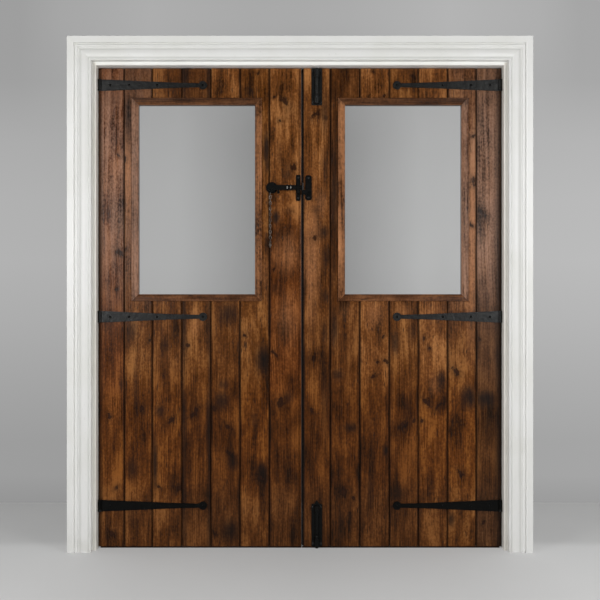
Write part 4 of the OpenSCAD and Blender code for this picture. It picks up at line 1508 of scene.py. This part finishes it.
@dataclass
class Studio:
    """The pale floor, the grey wall behind, two soft lights and the camera.

    The stops of its ramps are display greys at shares of a span.

    Attributes:
        wall_y: Distance of the wall behind the middle of the doors.
        wall_half_w: Half the width of the wall.
        wall_h: Height of the wall.
        cove_r: Radius of the cove between floor and wall.
        cove_steps: Number of points round the cove.
        floor_half: Half the side of the floor.
        eye: Place of the camera.
        focal_share: Focal length as a share of the picture's width.
        light_x: Distance of each light to the side.
        light_y: Distance of the lights in front.
        light_z: Height of the lights.
        light_w: Width of a light.
        light_h: Height of a light.
        aim_x: Distance to the side of the point that each light faces.
        aim_z: Height of that point.
        watts: Power of each light.
        sky_front: Brightness of the room on the side of the camera.
        sky_back: Brightness of the room behind the doors.
    """

    wall_y: float = 1.0
    wall_half_w: float = 2.6
    wall_h: float = 3.6
    cove_r: float = 0.10
    cove_steps: int = 12
    floor_half: float = 9.0
    eye: tuple[float, float, float] = (0.0, -3.996, 1.035)
    focal_share: float = 958 / 600
    light_x: float = 1.9
    light_y: float = -3.0
    light_z: float = 1.65
    light_w: float = 0.8
    light_h: float = 1.3
    aim_x: float = 0.1
    aim_z: float = 1.15
    watts: float = 46.0
    sky_front: float = 0.02
    sky_back: float = 0.80

    FLOOR = tint(226, 226, 225)
    FLOOR_SHADE = tint(206, 206, 204)
    FLOOR_GLOW = ((0.083, 181), (0.25, 170), (0.5, 166), (0.75, 177), (0.917, 196))
    WALL_ACROSS = ((0.0, 122), (0.125, 152), (0.21, 168), (0.315, 184), (0.405, 184), (0.6, 180), (1.0, 182))
    WALL_UP = (
        (0.0, 214), (0.04, 225), (0.1, 225), (0.207, 236), (0.31, 247), (0.413, 255), (0.52, 253),
        (0.623, 246), (0.727, 233), (0.84, 234), (1.0, 231),
    )
    ABOVE_ACROSS = ((0.0, 183), (0.13, 184), (0.39, 191), (0.625, 184), (0.73, 176))
    FLOOR_HALF_SPAN, WALL_HALF_SPAN, WALL_UP_SPAN = 1.2, 2.0, 3.0
    FLOOR_CELLS = 1.5
    FLOOR_GLOW_SHARE = 0.5
    FLOOR_DIM_Y, FLOOR_DIM_SHARE = (0.0, 0.13), 0.3
    ABOVE_Z = (1.8, 2.5)
    LEAN_X, LEAN = (-1.4, 1.4), (0.965, 1.075)

    def floor_material(self) -> bpy.types.Material:
        """Pale floor, slightly uneven in colour, half glowing with painted light and a painted shadow behind
        the doors.

        Returns:
            The material.
        """
        sheet = Shader("studio_floor")
        cloud = sheet.noise(sheet.x * self.FLOOR_CELLS, sheet.y * self.FLOOR_CELLS, 0.0, 3.0)
        color = sheet.mix(cloud * 0.5, self.FLOOR, self.FLOOR_SHADE)
        material = sheet.surface(Base_Color=color, Roughness=0.65)
        # Painted light: the floor's glow is brighter towards the sides.
        along = (sheet.x + self.FLOOR_HALF_SPAN) * (0.5 / self.FLOOR_HALF_SPAN)
        pale = sheet.greys(along, self.FLOOR_GLOW)
        # Painted shadow: the glow is dimmed behind the door plane.
        pale = sheet.mix(sheet.y.rise(*self.FLOOR_DIM_Y) * self.FLOOR_DIM_SHARE, pale, BLACK)
        glow = sheet.node("ShaderNodeEmission", sockets={"Color": pale, "Strength": 1.0})
        plain = Value(sheet, sheet.principled.outputs[0])
        share = sheet.background() * self.FLOOR_GLOW_SHARE
        face = sheet.node("ShaderNodeMixShader", sockets={0: share, 1: plain, 2: glow})
        sheet.feed(sheet.outlet, "Surface", face)
        return material

    def wall_material(self) -> bpy.types.Material:
        """Grey wall that glows with painted light, two soft pools round a painted shadow of the doors, seen
        from its front only.

        Returns:
            The material.
        """
        sheet = Shader("studio_wall")
        # Painted light and shade: dark behind the doors, pools to either side, fading away from the lights'
        # height, and leaning brighter to the right.
        aside = abs(sheet.x) * (1 / self.WALL_HALF_SPAN)
        across, above = sheet.greys(aside, self.WALL_ACROSS), sheet.greys(aside, self.ABOVE_ACROSS)
        upward = sheet.greys(sheet.z * (1 / self.WALL_UP_SPAN), self.WALL_UP)
        color = sheet.mix(1.0, sheet.mix(sheet.z.rise(*self.ABOVE_Z), across, above), upward, "MULTIPLY")
        left, right = ((share, share, share) for share in self.LEAN)
        lean = sheet.mix(sheet.x.rise(*self.LEAN_X), left, right)
        color = sheet.mix(1.0, color, lean, "MULTIPLY")
        glow = sheet.node("ShaderNodeEmission", sockets={"Color": color, "Strength": 1.0})
        sheet.feed(sheet.principled, "Base Color", color)
        plain = Value(sheet, sheet.principled.outputs[0])
        face = sheet.node("ShaderNodeMixShader", sockets={0: sheet.background(), 1: plain, 2: glow})
        behind = sheet.node("ShaderNodeNewGeometry", out="Backfacing")
        clear = sheet.node("ShaderNodeBsdfTransparent")
        both = sheet.node("ShaderNodeMixShader", sockets={0: behind, 1: face, 2: clear})
        sheet.feed(sheet.outlet, "Surface", both)
        return sheet.material

    def build_stage(self) -> None:
        """Lays the floor and stands the wall: a quarter-round cove and a straight rise, carried along X."""
        half = self.floor_half
        x, y = np.meshgrid([-half, half], [-half, half])
        floor = grid_mesh("studio_floor", np.stack([x, y, np.zeros_like(x)], axis=-1)[None], wrapped=False)
        floor.data.materials.append(self.floor_material())
        turn = np.linspace(0.0, math.pi / 2, self.cove_steps)
        profile_y = np.append(self.wall_y - self.cove_r * (1 - np.sin(turn)), self.wall_y)
        profile_z = np.append(self.cove_r * (1 - np.cos(turn)), self.wall_h)
        x = np.array([-self.wall_half_w, self.wall_half_w])
        sweep = np.stack(np.broadcast_arrays(x[None], profile_y[:, None], profile_z[:, None]), axis=-1)
        wall = grid_mesh("studio_wall", sweep[None], wrapped=False)
        wall.data.materials.append(self.wall_material())

    def build_lights(self) -> None:
        """Hangs a soft light at each side of the camera and lights the room evenly."""
        scene = bpy.context.scene
        for side, sign in zip(Side, (-1.0, 1.0)):
            data = bpy.data.lights.new(f"{side}_soft_light", "AREA")
            data.shape = "RECTANGLE"
            data.size, data.size_y, data.energy = self.light_w, self.light_h, self.watts
            light = bpy.data.objects.new(data.name, data)
            light.location = (sign * self.light_x, self.light_y, self.light_z)
            aim = Vector((sign * self.aim_x, 0.0, self.aim_z)) - light.location
            light.rotation_euler = aim.to_track_quat("-Z", "Y").to_euler()
            scene.collection.objects.link(light)
        scene.world = Room("studio_room").world(self.sky_front, self.sky_back)

    def build_camera(self) -> None:
        """Sets the camera level, square to the doors."""
        data = bpy.data.cameras.new("photo_camera")
        data.lens = data.sensor_width * self.focal_share
        camera = bpy.data.objects.new("photo_camera", data)
        camera.location = self.eye
        camera.rotation_euler = (math.pi / 2, 0.0, 0.0)
        bpy.context.scene.collection.objects.link(camera)
        bpy.context.scene.camera = camera
        bpy.context.scene.view_settings.view_transform = "Standard"

    def build(self) -> None:
        """Sets up the whole studio."""
        self.build_stage()
        self.build_lights()
        self.build_camera()


def main() -> None:
    """Builds the studio and dresses the frame, the leaves and their irons."""
    logging.basicConfig(level=logging.INFO, format="%(message)s")
    Studio().build()
    DoorFrame().build()
    iron = BlackIron("black_iron").material()
    for side in Side:
        Leaf(side).build(iron)
    Furniture().build(iron)


if __name__ == "__main__":
    main()
